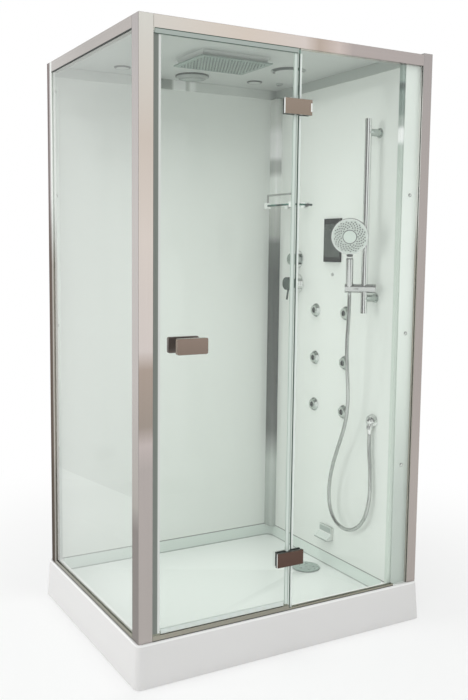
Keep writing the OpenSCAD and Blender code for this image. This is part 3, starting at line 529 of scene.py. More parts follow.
POST_EDGE_PAINTED_HIGHLIGHT = make_profile_metal("post edge painted highlight", UP, [
    (0.15, (0.40, 0.38, 0.33)), (1.40, (0.42, 0.40, 0.34)), (1.55, (0.86, 0.85, 0.82)),
    (1.95, (0.86, 0.85, 0.82)), (2.02, (0.52, 0.52, 0.50)), (2.12, (0.50, 0.50, 0.48))], metallic=0.0)
# Front rail: its bright and dark lengths are painted reflections
FRONT_RAIL_PAINTED_REFLECTIONS = make_profile_metal("front rail aluminium", ALONG_X, [
    (-0.55, (0.68, 0.65, 0.60)), (-0.20, (0.68, 0.60, 0.53)), (0.02, (0.68, 0.61, 0.57)),
    (0.08, (0.50, 0.42, 0.36)), (0.16, (0.62, 0.54, 0.50)), (0.22, (0.46, 0.41, 0.39)),
    (0.55, (0.44, 0.40, 0.385))])
RAIL_Y_METAL = make_profile_metal("side rail aluminium", ALONG_Y, [
    (-0.40, (0.48, 0.445, 0.42)), (0.00, (0.45, 0.425, 0.40)), (0.40, (0.53, 0.505, 0.48))])
CORNER_PAINTED_REFLECTIONS = make_profile_metal("corner aluminium", UP, [
    (0.15, (0.46, 0.50, 0.47)), (0.45, (0.54, 0.58, 0.55)), (0.60, (0.14, 0.15, 0.14)),
    (1.30, (0.10, 0.115, 0.105)), (1.44, (0.18, 0.20, 0.185)), (1.48, (0.46, 0.48, 0.455)),
    (1.60, (0.58, 0.60, 0.57)), (1.62, (0.90, 0.93, 0.90)), (1.73, (0.92, 0.95, 0.92)),
    (1.76, (0.50, 0.52, 0.50)), (1.80, (0.52, 0.54, 0.52)), (1.825, (1.0, 1.0, 1.0)),
    (1.92, (1.0, 1.0, 1.0)), (1.965, (0.76, 0.78, 0.75)), (2.08, (0.64, 0.66, 0.63))],
    roughness=0.16, metallic=0.25)
# Top band on the wall tops: its bright and dark patches are painted reflections
TOP_BAND_PAINTED_REFLECTIONS = make_profile_metal("top band", ALONG_X, [
    (-0.56, (0.66, 0.69, 0.66)), (-0.12, (0.70, 0.73, 0.70)), (-0.10, (0.34, 0.37, 0.34)),
    (-0.055, (0.38, 0.41, 0.38)), (-0.042, (0.92, 0.94, 0.92)), (0.008, (0.90, 0.92, 0.90)),
    (0.016, (0.54, 0.57, 0.54)), (0.026, (0.54, 0.57, 0.54)), (0.034, (0.88, 0.90, 0.88)),
    (0.052, (0.86, 0.88, 0.86)), (0.066, (0.64, 0.67, 0.64)), (0.25, (0.74, 0.77, 0.74)),
    (0.42, (0.66, 0.69, 0.66)), (0.45, (0.49, 0.53, 0.50))], roughness=0.3, metallic=0.35)
CHANNEL_METAL = make_profile_metal("olive channel", ALONG_Y, [
    (-0.44, (0.31, 0.295, 0.24)), (0.0, (0.28, 0.27, 0.22)), (0.42, (0.33, 0.32, 0.27))])
SILL_METAL = make_profile_metal("sill aluminium", ALONG_X, [
    (-0.55, (0.36, 0.345, 0.29)), (-0.2, (0.31, 0.30, 0.25)), (0.5, (0.27, 0.26, 0.22))])
# Wall flanges: white with painted shade, darker towards the bottom and brightest at about 1.25 m to 1.5 m
FLANGE_WHITE_PAINTED_SHADE = make_profile_metal("white flange with painted shade", UP, [
    (0.15, (0.52, 0.57, 0.53)), (0.50, (0.60, 0.65, 0.61)), (0.90, (0.84, 0.89, 0.84)),
    (1.25, (0.95, 0.99, 0.95)), (1.50, (0.94, 0.98, 0.94)), (1.80, (0.86, 0.90, 0.86)),
    (2.12, (0.86, 0.90, 0.86))], roughness=0.3, contrast=0.02, metallic=0.0)
EDGE_WHITE_PAINTED_REFLECTIONS = make_profile_metal("white edge profile with painted reflections", UP, [
    (0.15, (0.64, 0.71, 0.65)), (1.50, (0.62, 0.69, 0.63)), (1.795, (0.50, 0.57, 0.52)),
    (1.812, (1.0, 1.0, 1.0)), (1.852, (1.0, 1.0, 1.0)), (1.868, (0.44, 0.49, 0.46)),
    (1.895, (0.40, 0.45, 0.42)), (1.908, (0.24, 0.30, 0.27)), (1.985, (0.22, 0.29, 0.26)),
    (2.00, (0.08, 0.11, 0.10)), (2.012, (0.09, 0.12, 0.11)), (2.025, (0.32, 0.40, 0.36)),
    (2.08, (0.33, 0.41, 0.37))], roughness=0.18, metallic=0.0)

# Hinges and handles; their warm tones, darker towards the bottom, are painted reflections on chrome
WARM_REFLECTION_CHROME = make_profile_metal("warm painted reflections on chrome", UP, [
    (0.25, (0.10, 0.062, 0.050)), (0.42, (0.13, 0.085, 0.068)), (1.06, (0.22, 0.175, 0.145)),
    (1.14, (0.27, 0.21, 0.175)), (1.80, (0.27, 0.22, 0.17)), (1.95, (0.31, 0.25, 0.21))],
    roughness=0.12, contrast=0.03)
HANDLE_BACK = make_plastic("shaded warm metal", (0.15, 0.12, 0.11), 0.30, Metallic=0.4)
HINGE_PAINTED_HIGHLIGHT = make_plastic("hinge painted highlight", (0.96, 0.96, 0.95), 0.12)

# Chromed and steel fittings; the darker chromes are copies of the one chrome with painted shade
CHROME = make_chrome("chrome", (0.86, 0.87, 0.86))
BRACKET_PAINTED_SHADE = make_chrome("bracket plating with painted shade", (0.51, 0.56, 0.53), 0.12)
JET_RING_PAINTED_SHADE = make_chrome("jet ring plating with painted shade", (0.60, 0.64, 0.61), 0.14)
PAINTED_SHADE_CHROME = make_chrome("painted-shade chrome", (0.56, 0.57, 0.56), 0.10)
SHADED_CHROME = make_chrome("shaded chrome", (0.43, 0.48, 0.45), 0.20)
LEVER_PAINTED_SHADE = make_chrome("lever plating with painted shade", (0.15, 0.185, 0.17), 0.20)
HOSE_SILVER = make_chrome("hose silver", (0.54, 0.56, 0.54), 0.16)
HANDSET_SILVER = make_chrome("handset silver", (0.66, 0.67, 0.66), 0.12)
STEEL = make_chrome("brushed steel", (0.62, 0.64, 0.62), 0.20)
RAIL_PAINTED_HIGHLIGHT = make_plastic("rail painted highlight", (0.93, 0.95, 0.93), 0.2)

# Panes and white backed walls
PANE_X = make_clear_glass("clear glass facing x", (0.975, 0.992, 0.98), (0.010, 0.055, 0.036), "X")
PANE_Y = make_clear_glass("clear glass facing y", (0.975, 0.992, 0.98), (0.010, 0.055, 0.036), "Y")
PANE_Z = make_clear_glass("clear glass facing z", (0.90, 0.97, 0.93), (0.012, 0.07, 0.05), "Z")
WALL_GLASS = make_plastic("white backed glass", (0.79, 0.82, 0.785), 0.05, 0.03, 4)

# Tray and roof
ACRYLIC = make_plastic("white acrylic", (0.78, 0.765, 0.765), 0.14, 0.06, 12)
ACRYLIC_PAINTED_HIGHLIGHT = make_plastic("acrylic painted highlight", (0.93, 0.92, 0.92), 0.12, 0.05, 12)
BASIN_FLOOR = make_plastic("white basin floor", (0.78, 0.815, 0.79), 0.16, 0.05, 12)
BASIN_SIDE = make_plastic("white basin side", (0.72, 0.79, 0.745), 0.14, 0.05, 12)
BASIN_CREASE_PAINTED_SHADE = make_plastic("basin crease painted shade", (0.36, 0.40, 0.375), 0.3)
DRAIN_STEEL = make_plastic("drain steel", (0.33, 0.405, 0.37), 0.28, Metallic=0.3)
# The white roof is given a grey tone: painted shade
ROOF_PAINTED_SHADE = make_plastic("roof with painted shade", (0.57, 0.60, 0.575), 0.40)

# Fittings in the roof
OPAL = make_plastic("opal lamp", (0.39, 0.43, 0.40), 0.25)
LAMP_RIM = make_plastic("lamp rim", (0.09, 0.105, 0.095), 0.3)
FITTING_SIDE_SHADE = make_plastic("fitting sides, painted shade", (0.36, 0.39, 0.37), 0.35)
SENSOR_GREY = make_plastic("sensor grey", (0.10, 0.12, 0.11), 0.35)
RAIN_STEEL = make_plastic("rain head steel", (0.33, 0.395, 0.36), 0.45, 0.08, 40, Specular_IOR_Level=0.2)
RAIN_NOZZLE = make_plastic("rain nozzle", (0.235, 0.28, 0.255), 0.4, Specular_IOR_Level=0.2)

# Seals and lips
CLEAR_SEAL = make_plastic("clear seal", (0.72, 0.80, 0.75), 0.22)
STRIP_SEAL = make_plastic("clear strip", (0.42, 0.47, 0.44), 0.22)
SOFT_CLEAR = make_plastic("clear lip", (0.72, 0.78, 0.745), 0.2)
PALE_LIP = make_plastic("pale lip", (0.97, 0.99, 0.975), 0.25)
WHITE_SEAL = make_plastic("white magnetic strip", (0.74, 0.76, 0.74), 0.30)
GREY_SEAL = make_plastic("grey gasket", (0.20, 0.22, 0.20), 0.4)
DARK_SEAL = make_plastic("dark gasket", (0.035, 0.04, 0.037), 0.45)
SEAM_GREEN = make_plastic("dark green lip", (0.055, 0.095, 0.075), 0.35)
SEAM_GREY = make_plastic("grey green lip", (0.46, 0.53, 0.49), 0.3)

# Panel, jets, hand shower and steam hood
PANEL_DARK = make_plastic("dark panel", (0.018, 0.022, 0.019), 0.25, 0.05, 30, Specular_IOR_Level=0.12)
PANEL_GREY = make_plastic("grey screen", (0.074, 0.089, 0.078), 0.20, 0.05, 30, Specular_IOR_Level=0.12)
JET_FACE = make_plastic("jet face", (0.13, 0.15, 0.14), 0.35)
JET_DARK = make_plastic("dark jet plastic", (0.06, 0.065, 0.062), 0.35)
NOZZLE_GREY = make_plastic("nozzle plate grey", (0.70, 0.75, 0.71), 0.38)
NOZZLE_WHITE = make_plastic("white centre", (0.70, 0.77, 0.72), 0.3)
SOFT_NOZZLE = make_plastic("soft nozzle", (0.09, 0.10, 0.095), 0.5)
PLATE_GREY = make_plastic("outlet plate grey", (0.36, 0.41, 0.38), 0.30)
HOOD_SHADE = make_plastic("hood painted shade", (0.60, 0.655, 0.615), 0.2)
HOOD_LINE = make_plastic("hood outline", (0.30, 0.34, 0.31), 0.3)

# Parts out of sight
BRASS = make_chrome("raw brass", (0.60, 0.45, 0.20), 0.30)
FRAME_STEEL = make_plastic("grey painted steel", (0.16, 0.165, 0.17), 0.45)
BLACK_FOOT = make_plastic("black foot", (0.02, 0.02, 0.02), 0.5)
PALE_PLASTIC = make_plastic("pale plastic", (0.60, 0.61, 0.62), 0.4)
CASING_WHITE = make_plastic("casing white", (0.70, 0.70, 0.69), 0.35, 0.08, 120, 0.2)


# Camera and hose come first
def add_camera():
    data = bpy.data.cameras.new("photo camera")
    data.sensor_width = 36.0
    data.lens = FOCAL_PX / PHOTO_H * data.sensor_width
    data.shift_x = (PHOTO_W / 2 - OPTICAL_X) / PHOTO_H
    data.shift_y = (OPTICAL_Y - PHOTO_H / 2) / PHOTO_H
    data.clip_end = 60
    camera = bpy.data.objects.new("photo camera", data)
    turn = (Matrix.Rotation(math.radians(-CAMERA_YAW), 4, "Z")
            @ Matrix.Rotation(math.radians(90 - CAMERA_PITCH), 4, "X")
            @ Matrix.Rotation(math.radians(CAMERA_ROLL), 4, "Z"))
    camera.matrix_world = Matrix.Translation(CAMERA_AT) @ turn
    bpy.context.scene.collection.objects.link(camera)
    bpy.context.scene.camera = camera


def smooth_points(points, steps):
    last = len(points) - 1
    path = []
    for i in range(last):
        a, b, c, d = (Vector(points[min(max(k, 0), last)]) for k in (i - 1, i, i + 1, i + 2))
        for k in range(steps):
            t = k / steps
            path.append(0.5 * (2 * b + (c - a) * t + (2 * a - 5 * b + 4 * c - d) * t * t
                               + (3 * b - a - 3 * c + d) * t ** 3))
    path.append(Vector(points[last]))
    return path


def add_hose():
    path = smooth_points(HOSE_ROUTE, 4)
    data = bpy.data.curves.new("hose", "CURVE")
    data.dimensions = "3D"
    data.bevel_depth = HOSE_D / 2
    data.bevel_resolution = 5
    data.use_fill_caps = True
    spline = data.splines.new("POLY")
    spline.points.add(len(path) - 1)
    for point, place in zip(spline.points, path):
        point.co = (*place, 1)
    hose = bpy.data.objects.new("hose_tube", data)
    bpy.context.scene.collection.objects.link(hose)
    pick(hose)
    bpy.ops.object.convert(target="MESH")
    hose = bpy.context.object
    bpy.ops.object.shade_smooth_by_angle(angle=math.radians(40))
    hose.data.materials.append(HOSE_SILVER)
    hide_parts("hose")
    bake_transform(hose)


add_camera()
add_hose()

# Plain finishes on solids whose shape is already right
FINISHES = {
    "tray_frame": FRAME_STEEL, "tray_feet": BLACK_FOOT, "waste_trap": PALE_PLASTIC,
    "left_glass": PANE_X, "fixed_glass": PANE_Y, "door_glass": PANE_Y, "shelf_glass": PANE_Z,
    "hinge_pins": STEEL, "valve_body": BRASS,
    "supply_pipes": PALE_PLASTIC, "jet_barrels": JET_DARK, "mixer_stem": SHADED_CHROME,
    "riser_rail": CHROME,
}
for node, material in FINISHES.items():
    set_material(CAD_NODES[node], material)
    smooth(CAD_NODES[node])

# Solids that show their edges get them softened
for node, material, width in [
        ("wall_top_rails", TOP_BAND_PAINTED_REFLECTIONS, 0.001),
        ("wall_flanges", FLANGE_WHITE_PAINTED_SHADE, 0.0008), ("roof_panel", ROOF_PAINTED_SHADE, 0.002),
        ("screw_caps", STEEL, 0.0008), ("handle_outer", WARM_REFLECTION_CHROME, 0.0015),
        ("front_top_rail", FRONT_RAIL_PAINTED_REFLECTIONS, 0.001),
        ("valve_rosettes", CHROME, 0.001), ("mixer_lever", LEVER_PAINTED_SHADE, 0.0012),
        ("jet_rings", JET_RING_PAINTED_SHADE, 0.001), ("rail_brackets", BRACKET_PAINTED_SHADE, 0.0012),
        ("slider", PAINTED_SHADE_CHROME, 0.0012), ("wall_elbow", CHROME, 0.0012),
        ("handset_holder", PAINTED_SHADE_CHROME, 0.0012), ("handle_inner", HANDLE_BACK, 0.0015),
        ("hinge_fixed_clamps", DARK_SEAL, 0.0012), ("hinge_door_clamps", DARK_SEAL, 0.0012)]:
    softened_node(node, material, width)


# Frame. Foot lines and the rail's gasket show this high
GASKET = 0.0025


def add_front_post():
    # Front face: painted reflections along its height; left face: painted shade, darker towards the bottom
    post = softened_node("front_left_post", POST_PAINTED_REFLECTIONS, 0.0012)
    paint(post, POST_SIDE_PAINTED_SHADE, lambda face: face.normal.x < -0.7)


# The rear post is a glazing profile and a wall profile in one; its left face carries a painted highlight
# band, whose two edges lie this far from the post's back, with a painted dark reflection behind it
HIGHLIGHT_BAND_FRONT, HIGHLIGHT_BAND_BACK = 0.036, 0.022


def add_rear_post():
    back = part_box("rear_left_post")[1].y
    highlight_band = (back - HIGHLIGHT_BAND_FRONT, back - HIGHLIGHT_BAND_BACK)
    post = merged_copy("rear_left_post")
    soften_edges(post, 0.0006)
    for place in highlight_band:
        split_at(post, (0, place, 0), (0, 1, 0))
    # The post's faces carry painted reflections: bright above about 1.5 m, dark below
    finish_piece(post, REAR_POST_PAINTED_REFLECTIONS, "rear_left_post")
    paint(post, SIDE_PAINTED_HIGHLIGHT, lambda face: face.normal.x < -0.7 and highlight_band[0] < face.center.y < highlight_band[1])
    paint(post, SIDE_PAINTED_DARK_REFLECTION, lambda face: face.normal.x < -0.7 and face.center.y > highlight_band[1])


def add_right_post():
    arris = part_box("front_right_post")[0].x + 0.001
    post = softened_node("front_right_post", RIGHT_METAL, 0.0008)
    # The post's left face by the flange gets a painted highlight, bright from about 1.55 m to 1.95 m
    paint(post, POST_EDGE_PAINTED_HIGHLIGHT, lambda face: face.normal.x < -0.7 and face.center.x < arris)


# The profile in the rear corner is polished, with painted reflections and a painted highlight along its
# height; the one at the front edge of the right wall is white, with a painted highlight and painted dark
# reflections near its top
def add_wall_profiles():
    front_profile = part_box("wall_profiles")[0].y + 0.03
    profiles = softened_node("wall_profiles", CORNER_PAINTED_REFLECTIONS, 0.0008)
    paint(profiles, EDGE_WHITE_PAINTED_REFLECTIONS, lambda face: face.center.y < front_profile)


# Tray: the basin inside the rim is a little greener and brighter than the skirt
BASIN_LEFT, BASIN_FRONT = -0.548, -0.398
BASIN_LOW, BASIN_HIGH, RIM_LOW = 0.09, 0.1475, 0.13
BASIN_LINE = 0.0045
DRAIN_PROUD = 0.006


def add_tray():
    foot_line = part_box("drain_cover")[1].z - DRAIN_PROUD + BASIN_LINE
    wall_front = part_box("rear_wall")[0].y + 0.002
    wall_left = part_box("right_wall")[0].x + 0.002

    def in_basin(face):
        return (BASIN_LOW < face.center.z < BASIN_HIGH and BASIN_FRONT < face.center.y < wall_front
                and BASIN_LEFT < face.center.x < wall_left)
    tray = merged_copy("shower_tray")
    soften_edges(tray, 0.004)
    split_at(tray, (0, 0, foot_line), (0, 0, 1))
    finish_piece(tray, ACRYLIC, "shower_tray")
    # The rim's top and its rounded outer arris get a painted highlight
    paint(tray, ACRYLIC_PAINTED_HIGHLIGHT, lambda face: face.normal.z > 0.25 and face.center.z > RIM_LOW
          and not in_basin(face))
    paint(tray, BASIN_SIDE, in_basin)
    # A painted shade line in the crease at the foot of the basin side
    paint(tray, BASIN_CREASE_PAINTED_SHADE, lambda face: in_basin(face) and face.center.z < foot_line and face.normal.z < 0.9)
    paint(tray, BASIN_FLOOR, lambda face: in_basin(face) and face.normal.z > 0.9)


# The gasket between rail and pane shows as a dark line under the rail
def add_left_rail():
    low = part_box("left_top_rail")[0]
    outer_web = low.x + 0.02
    rail = merged_copy("left_top_rail")
    soften_edges(rail, 0.0008)
    split_at(rail, (0, 0, low.z + GASKET), (0, 0, 1))
    finish_piece(rail, RAIL_Y_METAL, "left_top_rail")
    paint(rail, DARK_SEAL, lambda face: face.center.z < low.z + GASKET and face.center.x < outer_web)


# Channels and sill are olive grey with a dark line along their foot
def add_floor_profiles():
    for node, material in (("bottom_channels", CHANNEL_METAL), ("door_sill", SILL_METAL)):
        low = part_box(node)[0]
        profile = merged_copy(node)
        split_at(profile, (0, 0, low.z + GASKET), (0, 0, 1))
        finish_piece(profile, material, node)
        paint(profile, DARK_SEAL, lambda face: face.center.z < low.z + GASKET)


# Wall panels end in a dark line on the tray
def add_walls():
    for node in ("rear_wall", "right_wall"):
        seal_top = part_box(node)[0].z + 0.004
        wall = merged_copy(node)
        split_at(wall, (0, 0, seal_top), (0, 0, 1))
        finish_piece(wall, WALL_GLASS, node)
        paint(wall, GREY_SEAL, lambda face: face.center.z < seal_top)


# Seals: a grey magnetic strip on the post, a clear strip over the door with two dark lips
def add_frame_seals():
    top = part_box("frame_seals")[1].z
    strip_h, lip = 0.018, 0.0025
    strip_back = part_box("front_left_post")[0].y + 0.0025
    seals = merged_copy("frame_seals")
    for height in (top - strip_h + lip, top - lip):
        split_at(seals, (0, 0, height), (0, 0, 1))
    finish_piece(seals, GREY_SEAL, "frame_seals")
    paint(seals, SEAM_GREEN, lambda face: face.center.z > top - strip_h and face.normal.y < -0.5)
    paint(seals, STRIP_SEAL, lambda face: face.center.y < strip_back
          and top - strip_h + lip < face.center.z < top - lip)


# On the door a grey bulb meets the post's magnet and a white lap grips the pane
LAP_W = 0.0085
SEAM_W = 0.005
BOTTOM_SEAL_H = 0.018


def add_door_seals():
    low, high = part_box("door_seals")
    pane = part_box("door_glass")[0].x
    lap = pane + LAP_W
    seam = high.x - SEAM_W
    seals = merged_copy("door_seals")
    for place in (pane, seam):
        split_at(seals, (place, 0, 0), (1, 0, 0))
    finish_piece(seals, CLEAR_SEAL, "door_seals")
    paint(seals, GREY_SEAL, lambda face: face.center.x < pane)
    paint(seals, WHITE_SEAL, lambda face: pane < face.center.x < lap)
    paint(seals, SEAM_GREY, lambda face: face.center.x > seam)
    paint(seals, SOFT_CLEAR, lambda face: face.center.z < low.z + BOTTOM_SEAL_H
          and lap < face.center.x < seam - 2 * SEAM_W)


# Guard rail: thin chrome pipe with painted shade, and painted highlights on the clamps and on the post at the
# front
def add_shelf_rail():
    low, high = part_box("shelf_rail")
    clamp_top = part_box("shelf_glass")[1].z + 0.009
    pipe_low = high.z - 0.007
    front_post = low.y + 0.02
    rail = merged_copy("shelf_rail")
    soften_edges(rail, 0.0008)
    for height in (clamp_top, pipe_low):
        split_at(rail, (0, 0, height), (0, 0, 1))
    finish_piece(rail, PAINTED_SHADE_CHROME, "shelf_rail")
    paint(rail, RAIL_PAINTED_HIGHLIGHT, lambda face: face.center.z < clamp_top
          or face.center.y < front_post and face.center.z < pipe_low)


# Hinge covers: chrome with painted warm reflections, a painted highlight on the left edge, a painted
# highlight spot near the right edge of the upper one, and a dark pad behind
def add_hinge_covers():
    low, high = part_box("hinge_front_plates")
    plate_h, edge_t, side_w, glint_w, glint_h = 0.051, 0.0035, 0.0078, 0.006, 0.028
    upper, halfway = high.z - plate_h / 2, (low.z + high.z) / 2

    def lit_edge(face):
        depth = side_w if face.center.z > halfway else edge_t
        return face.normal.x < -0.5 and face.center.y < low.y + depth

    def painted_glint(face):
        return (face.normal.x > -0.5 and face.center.x > high.x - glint_w
                and abs(face.center.z - upper) < glint_h / 2)
    covers = merged_copy("hinge_front_plates")
    soften_edges(covers, 0.0016, 3)
    for depth in (edge_t, side_w):
        split_at(covers, (0, low.y + depth, 0), (0, 1, 0))
    split_at(covers, (high.x - glint_w, 0, 0), (1, 0, 0))
    for side in (-1, 1):
        split_at(covers, (0, 0, upper + side * glint_h / 2), (0, 0, 1))
    finish_piece(covers, WARM_REFLECTION_CHROME, "hinge_front_plates")
    paint(covers, DARK_SEAL, lambda face: face.center.y > low.y + edge_t)
    paint(covers, HINGE_PAINTED_HIGHLIGHT, lambda face: lit_edge(face) or painted_glint(face))


# A pale lip and a dark edge strip along the fixed pane's free edge, broken at the hinges
def add_pane_lip():
    pane_low, pane_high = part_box("fixed_glass")
    clamp_low, clamp_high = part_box("hinge_fixed_clamps")
    clamp_h, gap, head_gap = 0.051, 0.002, 0.022
    lip_in, lip_w, lip_t = 0.0005, 0.0105, 0.0015
    edge_w, clearance = 0.001, 0.0002
    left, back = pane_low.x, pane_high.y + clearance
    stretches = [(pane_low.z + gap, clamp_low.z - gap),
                 (clamp_low.z + clamp_h + gap, clamp_high.z - clamp_h - gap),
                 (clamp_high.z + gap, pane_high.z - head_gap)]
    strips = []
    for bottom, top in stretches:
        lip = block("pane_lip", (left + lip_in, back, bottom), (left + lip_w, back + lip_t, top))
        soften_edges(lip, 0.0006)
        edge = block("pane_edge", (left - edge_w, pane_low.y, bottom), (left - clearance, pane_high.y, top))
        soften_edges(edge, 0.0003)
        strips += [lip, edge]
    trim = join("fixed_pane_lip", strips)
    set_material(trim, PALE_LIP)
    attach(trim, "cabin")
    paint(trim, SEAM_GREEN, lambda face: face.center.x < left)


# Rain head: a thin plate with a turned-in border and a field of soft nozzles
RAIN_PITCH = 0.0125
RAIN_COLUMNS, RAIN_ROWS = 21, 8
RAIN_PLATE_T = 0.006
RAIN_STEM_R = 0.0105


def add_rain_head():
    low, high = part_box("rain_head")
    middle = (low + high) / 2
    stem_low = low.z + RAIN_PLATE_T

    def underside(face):
        return face.normal.z < -0.9 and face.area > 0.01
    plate = block("rain_plate", low, (high.x, high.y, stem_low))
    soften_edges(plate, 0.0012)
    inset_faces(plate, underside, 0.006)
    inset_faces(plate, underside, 0.0012, -0.0008)
    stem_at = (middle.x, middle.y, (stem_low + high.z) / 2)
    stem = disc("rain_stem", stem_at, RAIN_STEM_R, high.z - stem_low, UP, 32)
    deselect()
    row_step = 2 * RAIN_PITCH
    first = (middle.x - RAIN_PITCH * (RAIN_COLUMNS - 0.5) / 2, middle.y - row_step * (RAIN_ROWS - 0.5) / 2)
    bpy.ops.mesh.primitive_cone_add(vertices=8, radius1=0.0030, radius2=0.0025, depth=0.003,
                                    location=(*first, low.z), rotation=(math.pi, 0, 0))
    nozzle = bpy.context.object
    bpy.ops.object.transform_apply(location=True, rotation=True, scale=True)
    nozzles = join("rain_nozzles", [nozzle, copy_at(nozzle, (RAIN_PITCH / 2, RAIN_PITCH, 0))])
    for count, step in ((RAIN_COLUMNS, (RAIN_PITCH, 0, 0)), (RAIN_ROWS, (0, row_step, 0))):
        add_modifier(nozzles, "ARRAY", count=count, use_relative_offset=False, use_constant_offset=True,
                     constant_offset_displace=step)
    for piece, material in ((plate, RAIN_STEEL), (stem, RAIN_STEEL), (nozzles, RAIN_NOZZLE)):
        set_material(piece, material)
    stand_for(join("rain_head_finished", [plate, stem, nozzles]), "rain_head")


# Lamp and downlights: an opal disc sunk in a rim, with a dark joint round the lamp and the rear downlight
def add_ceiling_lights():
    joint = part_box("ceiling_lights")[0].z + 0.0075

    def lens(face):
        return face.normal.z < -0.95 and face.area > 0.002

    def dark_joint(face):
        return (face.area < 0.0006 and (face.normal.z < -0.95 or face.center.z > joint)
                and (face.center.x < 0 or face.center.y > 0.2))
    lights = merged_copy("ceiling_lights")
    soften_edges(lights, 0.001)
    inset_faces(lights, lens, 0.004)
    inset_faces(lights, lens, 0.0006, -0.001)
    finish_piece(lights, ROOF_PAINTED_SHADE, "ceiling_lights")
    # The fitting's side walls get painted shade
    paint(lights, FITTING_SIDE_SHADE, lambda face: face.normal.z > -0.95)
    paint(lights, LAMP_RIM, dark_joint)
    paint(lights, OPAL, lens)


# Loudspeaker: stepped rings on a dish with a flange round it, and a small ceiling sensor beside it
DISH_FLANGE = 0.009


def add_ceiling_speaker():
    low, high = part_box("ceiling_speaker")
    dish_r = (high.y - low.y) / 2 - DISH_FLANGE
    centre_x, centre_y = low.x + dish_r + DISH_FLANGE, (low.y + high.y) / 2

    def ring_share(face):
        return math.hypot(face.center.x - centre_x, face.center.y - centre_y) / dish_r

    def front(face):
        return face.normal.z < -0.95 and face.area > 0.0004

    def dark_ring(face):
        return face.normal.z < -0.95 and face.area < 0.0006 and ring_share(face) > 0.90
    dish = merged_copy("ceiling_speaker")
    soften_edges(dish, 0.001)
    for rim, depth in ((0.004, 0.0), (0.004, -0.001)):
        inset_faces(dish, front, rim, depth)
    finish_piece(dish, ROOF_PAINTED_SHADE, "ceiling_speaker")
    # The dish's side walls get painted shade
    paint(dish, FITTING_SIDE_SHADE, lambda face: face.normal.z > -0.95)
    paint(dish, LAMP_RIM, dark_ring)
    paint(dish, SENSOR_GREY, lambda face: ring_share(face) > 1.15)


# Diverter knob: a sunk face inside a rounded rim
def add_diverter():
    knob = merged_copy("diverter_knob")
    soften_edges(knob, 0.002, 3)
    inset_faces(knob, lambda face: face.normal.x < -0.95 and face.area > 0.0005, 0.004, -0.0012)
    finish_piece(knob, SHADED_CHROME, "diverter_knob")


# Jet nozzles: the ball's flat face is paler than its bore
def add_jet_nozzles():
    for number in range(1, 7):
        node = "jet_nozzle_%d" % number
        nozzle = merged_copy(node)
        smooth(nozzle)
        finish_piece(nozzle, JET_DARK, node)
        paint(nozzle, JET_FACE, lambda face: face.normal.x < -0.98)


# Control panel: a grey screen between two darker bands, in a slim rounded case, with a probe under it
PANEL_H = 0.175
PANEL_BAND_LOW, PANEL_BAND_HIGH = 0.019, 0.021


def add_control_panel():
    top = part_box("control_panel")[1].z
    bottom = top - PANEL_H
    screen_low, screen_high = bottom + PANEL_BAND_LOW, top - PANEL_BAND_HIGH

    def front(face):
        return face.normal.x < -0.95 and face.area > 0.001 and face.center.z > bottom
    panel = merged_copy("control_panel")
    soften_edges(panel, 0.0015)
    for height in (screen_low, screen_high):
        split_at(panel, (0, 0, height), (0, 0, 1))
    inset_faces(panel, front, 0.0012, -0.0004)
    finish_piece(panel, PANEL_DARK, "control_panel")
    paint(panel, PANEL_GREY, lambda face: front(face) and screen_low < face.center.z < screen_high)
    paint(panel, STEEL, lambda face: face.center.z < bottom - 0.01)


# Hand shower, in the frame of its holder: z runs up the handle, -y is the way it sprays
HOLDER = (Matrix.Translation((0.410, -0.294, 1.273)) @ Matrix.Rotation(math.radians(-42), 4, "Z")
          @ Matrix.Translation((-0.055, 0, 0)) @ Matrix.Rotation(math.radians(13), 4, "X"))
HEAD_Z = 0.200
HANDLE_RINGS = (0.1165, 0.119, 0.1245, 0.135)
NECK_HALF_W, NECK_HALF_D = 0.0145, 0.016
FACE_R, FACE_Y, GROOVE_R, CENTRE_R = 0.0655, -0.011, 0.0265, 0.024
SPRAY_NOZZLES, SPRAY_INNER, SPRAY_OUTER = 104, 0.030, 0.0585
GOLDEN_TURN = math.pi * (3 - math.sqrt(5))


def in_holder(place):
    return HOLDER.inverted() @ Vector(place)


# Under the head the neck has a dark ring, a white ring and a dark collar
def add_handset():
    line, white_low, white_high, collar_top = HANDLE_RINGS

    def on_neck(face):
        place = in_holder(face.center)
        return ((line < place.z < white_low or white_high < place.z < collar_top)
                and abs(place.x) < NECK_HALF_W and abs(place.y) < NECK_HALF_D)
    handset = merged_copy("handset")
    soften_edges(handset, 0.0015)
    along = HOLDER.to_3x3() @ Vector(UP)
    for height in (line, white_low, white_high):
        split_at(handset, HOLDER @ Vector((0, 0, height)), along)
    finish_piece(handset, HANDSET_SILVER, "handset")
    paint(handset, WHITE_SEAL, lambda face: white_low < in_holder(face.center).z < white_high)
    paint(handset, JET_DARK, on_neck)


